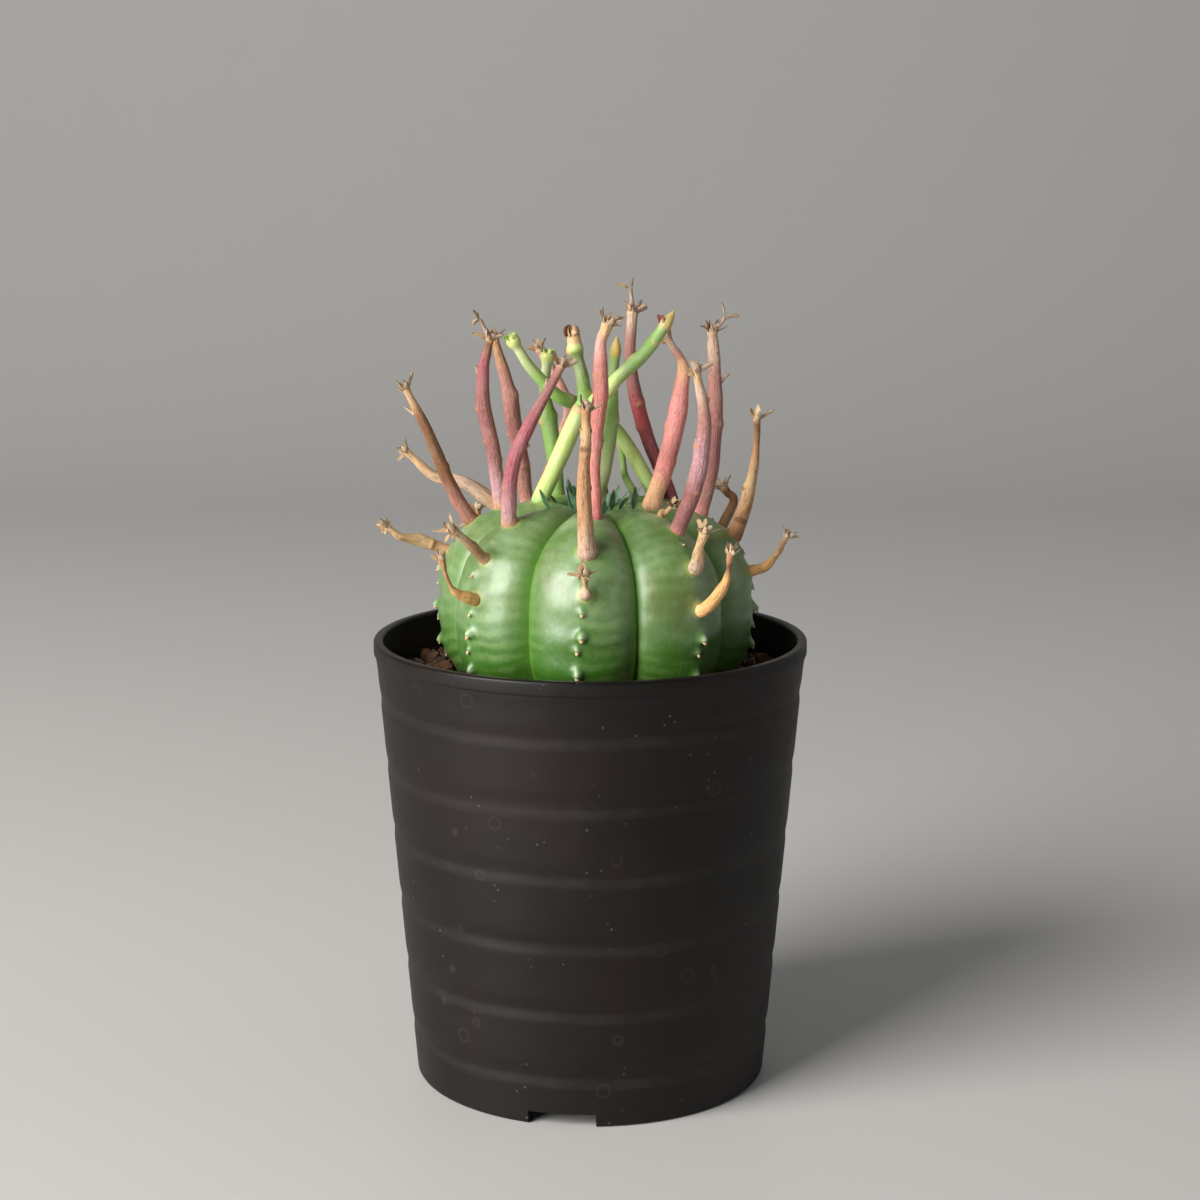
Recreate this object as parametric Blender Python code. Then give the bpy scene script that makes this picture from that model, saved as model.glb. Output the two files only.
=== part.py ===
"""Potted euphorbia: a ribbed, nearly round succulent stem that has kept the flower stalks of several
seasons, standing in gravelly soil in a black pot with ring grooves.

Metres, +Z up. The origin is on the surface that the pot stands on, on the pot's axis, and the front is -Y.
Run it with: blender --background --python part.py
"""

import math
from collections import namedtuple

import bmesh
import bpy
import numpy as np
from mathutils import Vector

MM = 0.001
GAP = 0.3 * MM  # left between solids that meet

# Pot
POT_HEIGHT = 93.3 * MM
POT_RIM_RADIUS = 45.0 * MM
POT_BASE_RADIUS = 36.9 * MM
POT_WALL = 1.5 * MM
LIP_HEIGHT = 3.2 * MM
LIP_STEP = 0.5 * MM
LIP_ROUND = 0.6 * MM
FOOT_HEIGHT = 3.2 * MM
FOOT_WIDTH = 2.6 * MM
FLOOR_THICKNESS = 1.6 * MM
GROOVE_COUNT = 6
GROOVE_LOWEST = 10.5 * MM
GROOVE_BELOW_RIM = 11.3 * MM
GROOVE_WIDTH = 5.0 * MM
GROOVE_DEPTH = 0.5 * MM
NOTCH_COUNT = 3
NOTCH_WIDTH = 14.0 * MM
NOTCH_HEIGHT = 2.8 * MM
NOTCH_TURN = math.radians(-9)  # of the first notch from the front, to the right
DRAIN_CENTRE_RADIUS = 5.0 * MM
DRAIN_COUNT = 6
DRAIN_RADIUS = 3.0 * MM
DRAIN_CIRCLE = 21.0 * MM
DRAIN_SIDES = 12
POT_SIDES = 48

# Soil
SOIL_BELOW_RIM = 9.0 * MM
SOIL_ROUGHNESS = 0.7 * MM
SOIL_RINGS = ((0.35, 0.0), (0.7, 1.3))  # share of the way in from the wall, and phase of the waves

# Stem
STEM_OFFSET = 1.0 * MM  # of the plant's axis from the pot's, to the right
STEM_RADIUS = 32.6 * MM
STEM_ABOVE_WIDEST = 24.0 * MM
STEM_BELOW_WIDEST = 22.0 * MM
STEM_SUNK = 8.3 * MM  # how far the stem's foot is below the soil's surface
SHOULDER_FULLNESS = 2.9  # exponents of the outline, where 2 is an ellipse
FOOT_FULLNESS = 2.4
RIB_COUNT = 8
RIB_TURN = math.radians(-5.5)  # of the front rib from the front, to the right
RIB_DEPTH = 5.0 * MM
RIB_KEEL = 0.18
CROWN_DIP = 3.0 * MM
CROWN_DIP_RADIUS = 7.0 * MM
TOOTH_PITCH = 3.8 * MM
TOOTH_HEIGHT = 0.9 * MM
TOOTH_CLEARANCE = 1.2 * MM  # bare ridge kept round a stalk
RIB_COLUMNS = (-1, -0.65, -0.3, -0.07, 0, 0.07, 0.3, 0.65)  # in half ribs from the ridge
TOOTHLESS_CROWN = math.radians(42)  # down from the crown to the first tooth
CROWN_ROWS = 9
BURIED_ROWS = 4
CROWN_HOLE = 0.06  # share of the stem's radius that one face closes
FOOT_HOLE = 0.1

# Stalks and leaves grow with the stem: their own millimetre is a true one at the radius given above.
PLANT_MM = STEM_RADIUS / 32.6
STALK_SIDES = 6
STALK_START = 1.2 * MM  # straight out of the stem, before a stalk bends
STALK_RING_STEP = 4.2 * MM
STALK_FOOT_SWELL = 1.12
ROUTE_SAMPLES = 24  # in each span, to space its rings by
SPIKE_TIP = 0.3  # share of its foot's width

# Leaves
LEAF_LENGTH = 5.0 * PLANT_MM
LEAF_WIDTH = 1.7 * PLANT_MM
LEAF_THICKNESS = 0.6 * PLANT_MM
LEAF_LEAN = math.radians(22)
LEAF_WIDTHS = ((0, 0.7), (0.35, 1.0), (0.75, 0.6), (1, 0.1))  # share of the length, share of the width

POT_TOP_WALL_Z = POT_HEIGHT - LIP_HEIGHT
FLOOR_TOP = FOOT_HEIGHT + FLOOR_THICKNESS
SOIL_LEVEL = POT_HEIGHT - SOIL_BELOW_RIM
STEM_WIDEST_Z = SOIL_LEVEL - STEM_SUNK + STEM_BELOW_WIDEST

# A stalk leaves rib number `rib`, counted to the right from the front one, `turn` degrees beside its ridge
# and `down` degrees from the crown. Its route is (outwards, sideways, up) from there. The route, the
# thickness and the tip are in PLANT_MM.
Stalk = namedtuple("Stalk", "name colour rib turn down route thick tip head bracts", defaults=((),))
STALKS = (
    Stalk(
        "dry_stalk_left_low", "tan", 6, 0, 67, ((5.5, 1.5, 2.5), (9, 4, 3.5), (11, 4.5, 5)),
        1.6, 1.1, "star",
    ),
    Stalk(
        "dry_stalk_left_rear", "tan", 5, 0, 54, ((6.5, 7.5, 7.5), (10.5, 12.5, 9), (14, 16.5, 13.5)),
        1.8, 1.2, "fork",
    ),
    Stalk(
        "brown_stalk_left", "brown", 6, 0, 45, ((4.5, 2, 8.5), (8, 4.5, 18.5), (12, 5.5, 27)),
        1.9, 1.3, "star",
    ),
    Stalk("dry_stub_front_left", "tan", 7, 3, 60, ((4, 0.5, 3), (7.5, 0, 6)), 1.4, 1.2, "star"),
    Stalk(
        "curled_stalk_front_left", "orange", 7, 3, 80, ((5, -0.5, 2), (7, -0.5, 5), (7.5, -1, 7.5)),
        1.4, 0.9, "fork",
    ),
    Stalk(
        "mauve_stalk_left", "mauve", 6, 0, 28,
        ((2, -1, 12), (4, -2, 21), (4, -2, 28), (2.8, -2, 32.5), (3, -2, 33.5)),
        2.1, 1.4, "antler",
    ),
    Stalk(
        "mauve_stalk_left_rear", "mauve", 5, 0, 36,
        ((1, 1, 9.5), (1.5, 2.5, 17.5), (2, 3.5, 24.5), (3, 6, 34)),
        2.0, 1.4, "star",
    ),
    Stalk(
        "purple_stalk_front_left", "purple", 7, 0, 34,
        ((1.5, 1.5, 8), (1, 3, 14.5), (-1, 5, 20.5), (-5.5, 8.5, 31)),
        2.1, 1.5, "fork", ((0.42, 90, 1.6),),
    ),
    Stalk(
        "green_stalk_forked", "green", 6, 0, 12, ((-3, 1, 7.5), (-7, 1.5, 16.5), (-9, 1, 20)),
        1.9, 1.8, "plain",
    ),
    Stalk(
        "green_stalk_flowering", "green", 5, 0, 14,
        ((0.5, 1, 10.5), (0.5, 2.5, 18), (0.5, 3, 23.5), (0.5, 2.5, 27.5)),
        1.7, 1.4, "flower",
    ),
    Stalk(
        "pink_stalk_rear", "pink", 5, 0, 24,
        ((-0.5, -4, 10.5), (-1, -6.5, 17.5), (0.5, -4.5, 24.5), (2.5, -2, 30)),
        1.5, 1.2, "star",
    ),
    Stalk(
        "pink_stalk_front", "pink", 0, 6, 21,
        ((-2, -0.5, 9.5), (-4, 0, 17.5), (-5, 1, 24.5), (-6, 1, 33.5), (-6, 2, 37)),
        1.7, 1.5, "star",
    ),
    Stalk(
        "dry_stalk_front", "tan", 0, 2, 50, ((2, -0.5, 13.5), (3, 0, 22), (3, 0, 27)),
        2.0, 1.5, "fork",
    ),
    Stalk(
        "green_stalk_bud", "green", 4, 0, 9,
        ((-2, -1.5, 6.5), (-4, -3, 16), (-3.5, -3, 24), (-3.5, -3.5, 29)),
        1.6, 1.3, "bud",
    ),
    Stalk(
        "green_stalk_crossing", "green", 3, 0, 20,
        ((-4, 6, 13), (-11.5, 8.5, 19), (-19, 8, 22), (-24.5, 10, 28), (-27, 11, 32)),
        1.7, 1.2, "flower",
    ),
    Stalk("green_stalk_thin", "green", 3, 0, 11, ((1.5, 4.5, 4), (3.5, 8, 8.5)), 0.9, 0.8, "bud"),
    Stalk(
        "crimson_stalk_rear", "crimson", 3, 0, 30,
        ((-1.5, 5.5, 13.5), (-3.5, 7, 22.5), (-4.5, 7.5, 30.5), (-4, 7.5, 37), (-4.2, 7.6, 38.5)),
        2.1, 1.4, "antler",
    ),
    Stalk(
        "salmon_stalk_right", "salmon", 2, -8, 14,
        ((1.5, 3.5, 7), (3.5, 4.5, 15.5), (4.5, 5.5, 23), (4.8, 6, 28.5), (2.3, 6, 32.5)),
        2.2, 1.0, "star",
    ),
    Stalk(
        "mauve_stalk_front_right", "lilac", 1, 4, 39,
        ((2.5, 1.5, 7), (4.5, 2, 14.5), (5, 2.5, 23), (4, 1.5, 31)),
        2.0, 1.2, "star", ((0.6, 200, 1.0),),
    ),
    Stalk(
        "mauve_stalk_right", "mauve", 2, 3, 33,
        ((2, 2, 8.5), (3, 3, 18.5), (3, 4, 27.5), (2.6, 5, 34.5), (3.4, 5, 36)),
        2.1, 1.4, "antler", ((0.75, 0, 1.6),),
    ),
    Stalk(
        "dry_stalk_right", "tan", 2, 2, 54, ((3, 1, 7), (4.5, 1, 14.5), (5, 1, 21), (5, 1, 23)),
        1.9, 1.0, "fork",
    ),
    Stalk(
        "dry_stub_right_rear", "brown", 3, 0, 72, ((4, -3.5, 9.5), (3, -2.5, 12)),
        1.5, 1.1, "star",
    ),
    Stalk(
        "curled_stalk_right", "tan", 2, 0, 75, ((3.5, 0.5, 1), (6, 0.5, 4), (7, 0.5, 6)),
        1.3, 0.9, "fork",
    ),
    Stalk(
        "dry_stub_front_right", "tan", 1, 0, 64, ((3.5, -1.5, 4.5), (4.5, -1.5, 7)),
        1.5, 1.0, "star", ((0.35, 200, 1.8),),
    ),
    Stalk(
        "golden_stalk_front_right", "orange", 1, 0, 83, ((4, 0, 2.5), (6.5, 1, 6.5), (7.5, 1, 11)),
        1.5, 0.9, "fork",
    ),
    Stalk("dry_stub_crown", "brown", 1, 6, 26, ((1, 0.5, 1.2), (2, 0.5, 2)), 0.9, 0.7, "star"),
    Stalk("dry_stub_front", "brown", 0, 2, 74, ((1.4, 0, 1.6), (2.4, 0, 3.5)), 1.1, 0.8, "star"),
    Stalk(
        "dry_stalk_back", "tan", 4, 2, 48, ((2.5, 1, 8), (5, 1.5, 15), (5.5, 0.5, 21)),
        1.9, 1.3, "fork",
    ),
    Stalk("dry_stub_back", "brown", 4, 0, 73, ((3.5, 0.5, 3), (5.5, 0.5, 6.5)), 1.4, 1.0, "star"),
    Stalk(
        "curled_stalk_back_left", "orange", 5, 0, 80, ((4, 0.5, 2), (6, 1, 6), (6, 1.5, 9)),
        1.4, 0.9, "fork",
    ),
)
FORK_RAYS = (
    ((-9, 1, 20), (-8.6, 0.7, 25), (-7.5, 0.5, 29.5), (-6.8, 0.5, 33)),
    ((-9, 1, 20), (-13, 1.5, 22.5), (-16, 2, 26), (-20.5, 2.5, 30), (-24, 3.5, 34.5), (-24.7, 3.5, 35.5)),
)
FORK_HEADS = ("flower", "bud")
FORK_RAY_THICK = (1.5, 1.7)
FORK_RAY_TIP = (1.3, 1.4)

# A head carries the tube on by rings of (advance in PLANT_MM, share of the tip's radius), then grows
# `spikes` dry bracts out of its rim, each `reach` PLANT_MM long and leaning out by `spread`, from 0 to 1.
Head = namedtuple("Head", "rings spikes reach spread")
HEADS = {
    "plain": Head(((0.8, 0.7),), 0, 0, 0),
    "star": Head(((0.8, 1.3), (1.8, 1.0)), 3, 2.0, 0.6),
    "fork": Head(((0.8, 1.15), (1.8, 0.8)), 2, 2.2, 0.55),
    "antler": Head(((0.8, 1.3), (1.8, 0.8), (4.5, 0.45), (5.6, 0.4)), 2, 2.6, 0.75),
    "bud": Head(((1.2, 1.3), (2.6, 1.2), (4.6, 0.3)), 0, 0, 0),
    "flower": Head(((1.0, 1.55), (2.4, 1.45)), 3, 1.4, 0.2),
}

# Where each leaf stands: (rib, degrees down from the crown). One is shifted aside from the stalk behind it.
INNER_LEAVES = tuple((rib, 3.5) for rib in (0, 1, 2, 3, 4.4, 5, 6, 7))
OUTER_LEAVES = ((0, 12), (1, 13), (2, 6.5), (4, 17), (5, 6.5), (7, 14))
LEAVES = INNER_LEAVES + OUTER_LEAVES


def srgb(red, green, blue):
    """Linear colour of an sRGB one given from 0 to 255."""
    shares = np.array((red, green, blue)) / 255
    linear = np.where(shares <= 0.04045, shares / 12.92, ((shares + 0.055) / 1.055) ** 2.4)
    return (*linear.tolist(), 1.0)


# Colour and roughness of each finish
FINISHES = {
    "pot": (srgb(38, 33, 31), 0.5),
    "soil": (srgb(122, 92, 70), 0.95),
    "stem": (srgb(88, 140, 72), 0.42),
    "leaf": (srgb(52, 92, 74), 0.55),
    "green": (srgb(140, 184, 84), 0.5),
    "mauve": (srgb(132, 78, 88), 0.6),
    "lilac": (srgb(178, 132, 140), 0.6),
    "purple": (srgb(124, 66, 82), 0.6),
    "pink": (srgb(204, 124, 116), 0.55),
    "salmon": (srgb(224, 128, 102), 0.5),
    "crimson": (srgb(150, 52, 66), 0.55),
    "tan": (srgb(178, 134, 92), 0.8),
    "brown": (srgb(156, 108, 88), 0.8),
    "orange": (srgb(192, 128, 66), 0.7),
}


def clear_scene():
    for old in list(bpy.data.objects):
        bpy.data.objects.remove(old)


def finish(name):
    """The material of this name, made on its first use."""
    found = bpy.data.materials.get(name)
    if found:
        return found
    colour, roughness = FINISHES[name]
    material = bpy.data.materials.new(name)
    material.use_nodes = True
    shader = material.node_tree.nodes["Principled BSDF"]
    shader.inputs["Base Color"].default_value = colour
    shader.inputs["Roughness"].default_value = roughness
    shader.inputs["Metallic"].default_value = 0.0
    material.diffuse_color = colour
    return material


def face_outwards(mesh):
    shape = bmesh.new()
    shape.from_mesh(mesh)
    bmesh.ops.recalc_face_normals(shape, faces=shape.faces)
    shape.to_mesh(mesh)
    shape.free()


def add_object(name, vertices, faces, material=None, edges=()):
    mesh = bpy.data.meshes.new(name)
    mesh.from_pydata(np.asarray(vertices).tolist(), list(edges), [list(face) for face in faces])
    if faces:
        face_outwards(mesh)
        mesh.shade_smooth()
        mesh.set_sharp_from_angle(angle=math.radians(40))
    if material:
        mesh.materials.append(finish(material))
    obj = bpy.data.objects.new(name, mesh)
    bpy.context.collection.objects.link(obj)
    return obj


def add_cutter(name, target, build):
    """A hidden helper that `build` fills with closed bodies, and that is cut from the target."""
    shape = bmesh.new()
    build(shape)
    mesh = bpy.data.meshes.new(name)
    shape.to_mesh(mesh)
    shape.free()
    cutter = bpy.data.objects.new(name, mesh)
    bpy.context.collection.objects.link(cutter)
    cutter.hide_render = True
    cutter.display_type = "WIRE"
    cut = target.modifiers.new(name, "BOOLEAN")
    cut.operation = "DIFFERENCE"
    cut.object = cutter


def grid_faces(rows, columns):
    """Quads of a grid that closes on itself along each row, and one face at each end."""
    def corner(row, column):
        return row * columns + column % columns

    faces = [
        (corner(r, c), corner(r, c + 1), corner(r + 1, c + 1), corner(r + 1, c))
        for r in range(rows - 1)
        for c in range(columns)
    ]
    return faces + [tuple(range(columns)), tuple(range((rows - 1) * columns, rows * columns))]


# Pot


def wall_radius(z):
    """Outer radius of the tapered wall at this height."""
    return POT_BASE_RADIUS + (POT_RIM_RADIUS - LIP_STEP - POT_BASE_RADIUS) * z / POT_TOP_WALL_Z


def inner_radius(z):
    return wall_radius(z) - POT_WALL


def pot_outline():
    """The wall's section: down the outside, in under the foot and the floor, and up the inside."""
    outline = [
        (POT_RIM_RADIUS - LIP_ROUND, POT_HEIGHT),
        (POT_RIM_RADIUS, POT_HEIGHT - LIP_ROUND),
        (POT_RIM_RADIUS, POT_HEIGHT - LIP_HEIGHT + LIP_ROUND),
        (wall_radius(POT_TOP_WALL_Z), POT_TOP_WALL_Z),
    ]
    for z in np.linspace(POT_HEIGHT - GROOVE_BELOW_RIM, GROOVE_LOWEST, GROOVE_COUNT):
        half = GROOVE_WIDTH / 2
        outline += [
            (wall_radius(z + half), z + half),
            (wall_radius(z) - GROOVE_DEPTH, z),
            (wall_radius(z - half), z - half),
        ]
    foot_inside = POT_BASE_RADIUS - FOOT_WIDTH
    outline += [
        (wall_radius(LIP_ROUND), LIP_ROUND),
        (POT_BASE_RADIUS - LIP_ROUND, 0),
        (foot_inside, 0),
        (foot_inside, FOOT_HEIGHT),
        (DRAIN_CENTRE_RADIUS, FOOT_HEIGHT),
        (DRAIN_CENTRE_RADIUS, FLOOR_TOP),
        (inner_radius(FLOOR_TOP), FLOOR_TOP),
        (inner_radius(POT_TOP_WALL_Z), POT_TOP_WALL_Z),
        (inner_radius(POT_TOP_WALL_Z), POT_HEIGHT - LIP_ROUND),
        (inner_radius(POT_TOP_WALL_Z) + LIP_ROUND, POT_HEIGHT),
    ]
    return outline


def cut_notches(shape):
    for number in range(NOTCH_COUNT):
        turn = NOTCH_TURN + number * math.tau / NOTCH_COUNT
        box = bmesh.ops.create_cube(shape, size=1)["verts"]
        for corner in box:
            along, across, height = corner.co
            out = POT_BASE_RADIUS + along * FOOT_WIDTH * 4
            side = across * NOTCH_WIDTH
            corner.co = (
                out * math.sin(turn) + side * math.cos(turn),
                -out * math.cos(turn) + side * math.sin(turn),
                math.copysign(NOTCH_HEIGHT, height),
            )
    bmesh.ops.recalc_face_normals(shape, faces=shape.faces)


def cut_drains(shape):
    for number in range(DRAIN_COUNT):
        turn = number * math.tau / DRAIN_COUNT
        made = bmesh.ops.create_cone(
            shape, cap_ends=True, segments=DRAIN_SIDES,
            radius1=DRAIN_RADIUS, radius2=DRAIN_RADIUS, depth=FLOOR_THICKNESS * 3,
        )
        middle = FOOT_HEIGHT + FLOOR_THICKNESS / 2
        place = (DRAIN_CIRCLE * math.cos(turn), DRAIN_CIRCLE * math.sin(turn), middle)
        bmesh.ops.translate(shape, verts=made["verts"], vec=place)
    bmesh.ops.recalc_face_normals(shape, faces=shape.faces)


def add_pot():
    outline = pot_outline()
    count = len(outline)
    edges = [(i, (i + 1) % count) for i in range(count)]
    pot = add_object("pot", [(r, 0, z) for r, z in outline], [], "pot", edges)
    turned = pot.modifiers.new("Turn", "SCREW")
    turned.steps = POT_SIDES
    turned.render_steps = POT_SIDES
    turned.use_merge_vertices = True
    turned.merge_threshold = 0.05 * MM
    add_cutter("foot_notches", pot, cut_notches)
    add_cutter("drain_holes", pot, cut_drains)


# Stem


def stem_outline(down):
    """Radius and height of the smooth stem, `down` radians from the crown: two half superellipses."""
    cosine = np.cos(down)
    above = cosine > 0
    power = 2 / np.where(above, SHOULDER_FULLNESS, FOOT_FULLNESS)
    half_height = np.where(above, STEM_ABOVE_WIDEST, STEM_BELOW_WIDEST)
    radius = STEM_RADIUS * np.abs(np.sin(down)) ** power
    height = STEM_WIDEST_Z + np.sign(cosine) * half_height * np.abs(cosine) ** power
    dip = CROWN_DIP * np.exp(-((radius / CROWN_DIP_RADIUS) ** 2))
    return radius, np.where(above, height - dip, height)


def outline_normal(down):
    """Outward direction (out, up) of the stem's outline."""
    step = 1e-3
    before, after = stem_outline(np.maximum(down - step, 1e-6)), stem_outline(down + step)
    out, up = -(after[1] - before[1]), after[0] - before[0]
    length = np.hypot(out, up)
    return out / length, up / length


def stem_surface(down, turn, rise=0.0):
    """Points of the ribbed stem, `turn` radians to the right of the front and `rise` above the skin.

    Each rib is a round back with a slight keel on its ridge, cut RIB_DEPTH deep at the grooves.
    """
    radius, height = stem_outline(down)
    out, up = outline_normal(down)
    half_rib = math.pi / RIB_COUNT
    aside = np.abs((turn - RIB_TURN + half_rib) % (2 * half_rib) - half_rib) / half_rib
    groove = RIB_KEEL * aside + (1 - RIB_KEEL) * (1 - np.sqrt(np.clip(1 - aside**2, 0, 1)))
    sink = RIB_DEPTH * (radius / STEM_RADIUS) ** 0.7 * groove - rise
    radius, height = radius - out * sink, height - up * sink
    return np.stack([STEM_OFFSET + radius * np.sin(turn), -radius * np.cos(turn), height + 0 * turn], -1)


def rib_direction(rib, turn=0.0):
    return RIB_TURN + rib * math.tau / RIB_COUNT + turn


def stem_columns():
    shares = np.array(RIB_COLUMNS) * math.pi / RIB_COUNT
    return np.concatenate([rib_direction(rib, shares) for rib in range(RIB_COUNT)])


def row_downs():
    """How far down each row of the stem is: wide steps on the crown and in the soil, half teeth between."""
    fine = np.linspace(1e-3, math.pi, 2000)
    radius, height = stem_outline(fine)
    arc = np.concatenate([[0], np.cumsum(np.hypot(np.diff(radius), np.diff(height)))])
    crown_end = np.interp(TOOTHLESS_CROWN, fine, arc)
    soil_start = arc[np.argmax((fine > math.pi / 2) & (height < SOIL_LEVEL - TOOTH_PITCH))]
    rows = [
        np.linspace(STEM_RADIUS * CROWN_HOLE, crown_end, CROWN_ROWS, endpoint=False),
        np.arange(crown_end, soil_start, TOOTH_PITCH / 2),
        np.linspace(soil_start, arc[-1] - STEM_RADIUS * FOOT_HOLE, BURIED_ROWS + 1)[1:],
    ]
    return np.interp(np.concatenate(rows), arc, fine), len(rows[0]), len(rows[0]) + len(rows[1])


def bare_ridge(rib, point):
    """Whether a stalk stands this near on the rib, so that no tooth grows there."""
    for stalk in STALKS:
        if stalk.rib == rib:
            base = stem_surface(np.array(math.radians(stalk.down)), np.array(rib_direction(rib)))
            if np.linalg.norm(base - point) < stalk.thick * PLANT_MM + TOOTH_CLEARANCE + TOOTH_HEIGHT:
                return True
    return False


def add_stem():
    downs, first, last = row_downs()
    turns = stem_columns()
    down, turn = np.meshgrid(downs, turns, indexing="ij")
    points = stem_surface(down, turn)
    raised = stem_surface(down, turn, TOOTH_HEIGHT)
    ridge = RIB_COLUMNS.index(0)
    for rib in range(RIB_COUNT):
        column = rib * len(RIB_COLUMNS) + ridge
        for row in range(first + rib % 2, last, 2):
            buried = points[row, column, 2] < SOIL_LEVEL + TOOTH_PITCH / 2
            if not buried and not bare_ridge(rib, points[row, column]):
                points[row, column] = raised[row, column]
    add_object("stem", points.reshape(-1, 3), grid_faces(len(downs), len(turns)), "stem")


# Soil


def add_soil():
    """Fills the pot from its floor, with a hollow that the stem's foot sits in."""
    turns = stem_columns()
    around = np.stack([np.sin(turns), -np.cos(turns)], -1)
    floor = FLOOR_TOP + GAP
    top_radius = inner_radius(SOIL_LEVEL) - GAP

    def ring(radius, z):
        return np.column_stack([around * radius, np.full(len(turns), z)])

    fine = np.linspace(math.pi / 2, math.pi, 500)
    start = float(np.interp(-SOIL_LEVEL, -stem_outline(fine)[1], fine))
    below = [down for down in row_downs()[0] if down > start + math.radians(1)]
    hollow = [stem_surface(np.full(len(turns), down), turns, GAP) for down in [start, *below]]
    rings = [
        ring(STEM_RADIUS / 2, floor),
        ring(inner_radius(floor) - GAP, floor),
        ring(top_radius, SOIL_LEVEL),
    ]
    for share, phase in SOIL_RINGS:
        between = rings[2] * (1 - share) + hollow[0] * share
        between[:, 2] = SOIL_LEVEL + SOIL_ROUGHNESS * np.sin(7 * turns + phase) * np.cos(3 * turns - phase)
        rings.append(between)
    rings += hollow
    add_object("soil", np.concatenate(rings), grid_faces(len(rings), len(turns)), "soil")


# Stalks


def smooth_route(knots, count):
    """Evenly spaced points of a Catmull-Rom curve through the knots."""
    knots = np.asarray(knots)
    padded = np.vstack([2 * knots[0] - knots[1], knots, 2 * knots[-1] - knots[-2]])
    share = np.linspace(0, 1, ROUTE_SAMPLES)[:, None]
    spans = []
    for a, b, c, d in zip(padded, padded[1:], padded[2:], padded[3:]):
        spans.append(
            0.5 * (2 * b + (c - a) * share + (2 * a - 5 * b + 4 * c - d) * share**2
                   + (3 * b - 3 * c + d - a) * share**3)
        )
    dense = np.vstack(spans)
    arc = np.concatenate([[0], np.cumsum(np.linalg.norm(np.diff(dense, axis=0), axis=1))])
    wanted = np.linspace(0, arc[-1], count)
    return np.column_stack([np.interp(wanted, arc, dense[:, axis]) for axis in range(3)]), arc[-1]


def unit(vector):
    return vector / np.linalg.norm(vector)


def tube_rings(centres, radii, tangents, aside):
    """Rings of a tube that doesn't twist: each keeps the last one's side direction as nearly as it can."""
    rings = []
    for centre, radius, tangent in zip(centres, radii, tangents):
        aside = unit(aside - tangent * np.dot(aside, tangent))
        across = np.cross(tangent, aside)
        angles = np.arange(STALK_SIDES) * math.tau / STALK_SIDES
        rings.append(centre + radius * (np.outer(np.cos(angles), aside) + np.outer(np.sin(angles), across)))
    return np.concatenate(rings)


def grow_spike(shape, face, direction, reach):
    """Draws a face out into a bract that narrows to its tip."""
    made = bmesh.ops.extrude_discrete_faces(shape, faces=[face])["faces"][0]
    middle = made.calc_center_median()
    for corner in made.verts:
        corner.co = middle + (corner.co - middle) * SPIKE_TIP + Vector(direction * reach)


def add_stalk(name, material, base, normal, route, thick, tip, head, bracts=()):
    """A tapered stalk from `base` along the route, both in metres, with its head and side bracts."""
    knots = [base + normal * GAP, base + normal * (GAP + STALK_START)] + list(route)
    length = np.linalg.norm(np.diff(knots, axis=0), axis=1).sum()
    count = max(4, round(length / STALK_RING_STEP) + 2)
    centres, length = smooth_route(knots, count)
    tangents = np.gradient(centres, axis=0)
    tangents[0] = normal
    tangents = np.array([unit(tangent) for tangent in tangents])
    radii = thick + (tip - thick) * np.linspace(0, 1, count)
    radii[0] *= STALK_FOOT_SWELL
    end = tangents[-1]
    shape_of = HEADS[head]
    rings = [centres[-1] + end * advance * PLANT_MM for advance, _ in shape_of.rings]
    centres = np.vstack([centres, rings])
    radii = np.concatenate([radii, [tip * share for _, share in shape_of.rings]])
    tangents = np.vstack([tangents, [end] * len(rings)])
    aside = np.array((1.0, 0.0, 0.0)) if abs(normal[0]) < 0.8 else np.array((0.0, 1.0, 0.0))
    points = tube_rings(centres, radii, tangents, aside)
    stalk = add_object(name, points, grid_faces(len(centres), STALK_SIDES), material)
    shape = bmesh.new()
    shape.from_mesh(stalk.data)
    shape.faces.ensure_lookup_table()
    band = (len(centres) - 2) * STALK_SIDES
    sides = range(0, STALK_SIDES, STALK_SIDES // shape_of.spikes) if shape_of.spikes else ()
    spikes = [(shape.faces[band + side], end, shape_of.spread, shape_of.reach) for side in sides]
    for along, angle, reach in bracts:
        ring = round(along * (count - 1))
        side = round(angle / 360 * STALK_SIDES) % STALK_SIDES
        spikes.append((shape.faces[ring * STALK_SIDES + side], tangents[ring], 0.8, reach))
    for face, along, spread, reach in spikes:
        direction = unit(np.array(face.normal) * spread + along * (1 - spread))
        grow_spike(shape, face, direction, reach * PLANT_MM)
    shape.to_mesh(stalk.data)
    shape.free()
    return stalk


def stalk_frame(stalk):
    """Where a stalk starts, the stem's outward direction there, and how its route turns into points."""
    down, turn = math.radians(stalk.down), rib_direction(stalk.rib, math.radians(stalk.turn))
    base = stem_surface(np.array(down), np.array(turn))
    out, up = outline_normal(np.array(down))
    outward = np.array((math.sin(turn), -math.cos(turn), 0.0))
    sideways = np.array((math.cos(turn), math.sin(turn), 0.0))
    normal = outward * float(out) + np.array((0.0, 0.0, float(up)))

    def place(route):
        steps = [outward * out + sideways * side + np.array((0.0, 0.0, up)) for out, side, up in route]
        return [base + step * PLANT_MM for step in steps]

    return base, normal, place


def add_stalks():
    for stalk in STALKS:
        base, normal, place = stalk_frame(stalk)
        made = add_stalk(
            stalk.name, stalk.colour, base, normal, place(stalk.route),
            stalk.thick * PLANT_MM, stalk.tip * PLANT_MM, stalk.head, stalk.bracts,
        )
        if stalk.name == "green_stalk_forked":
            add_fork_rays(made, place)


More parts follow.
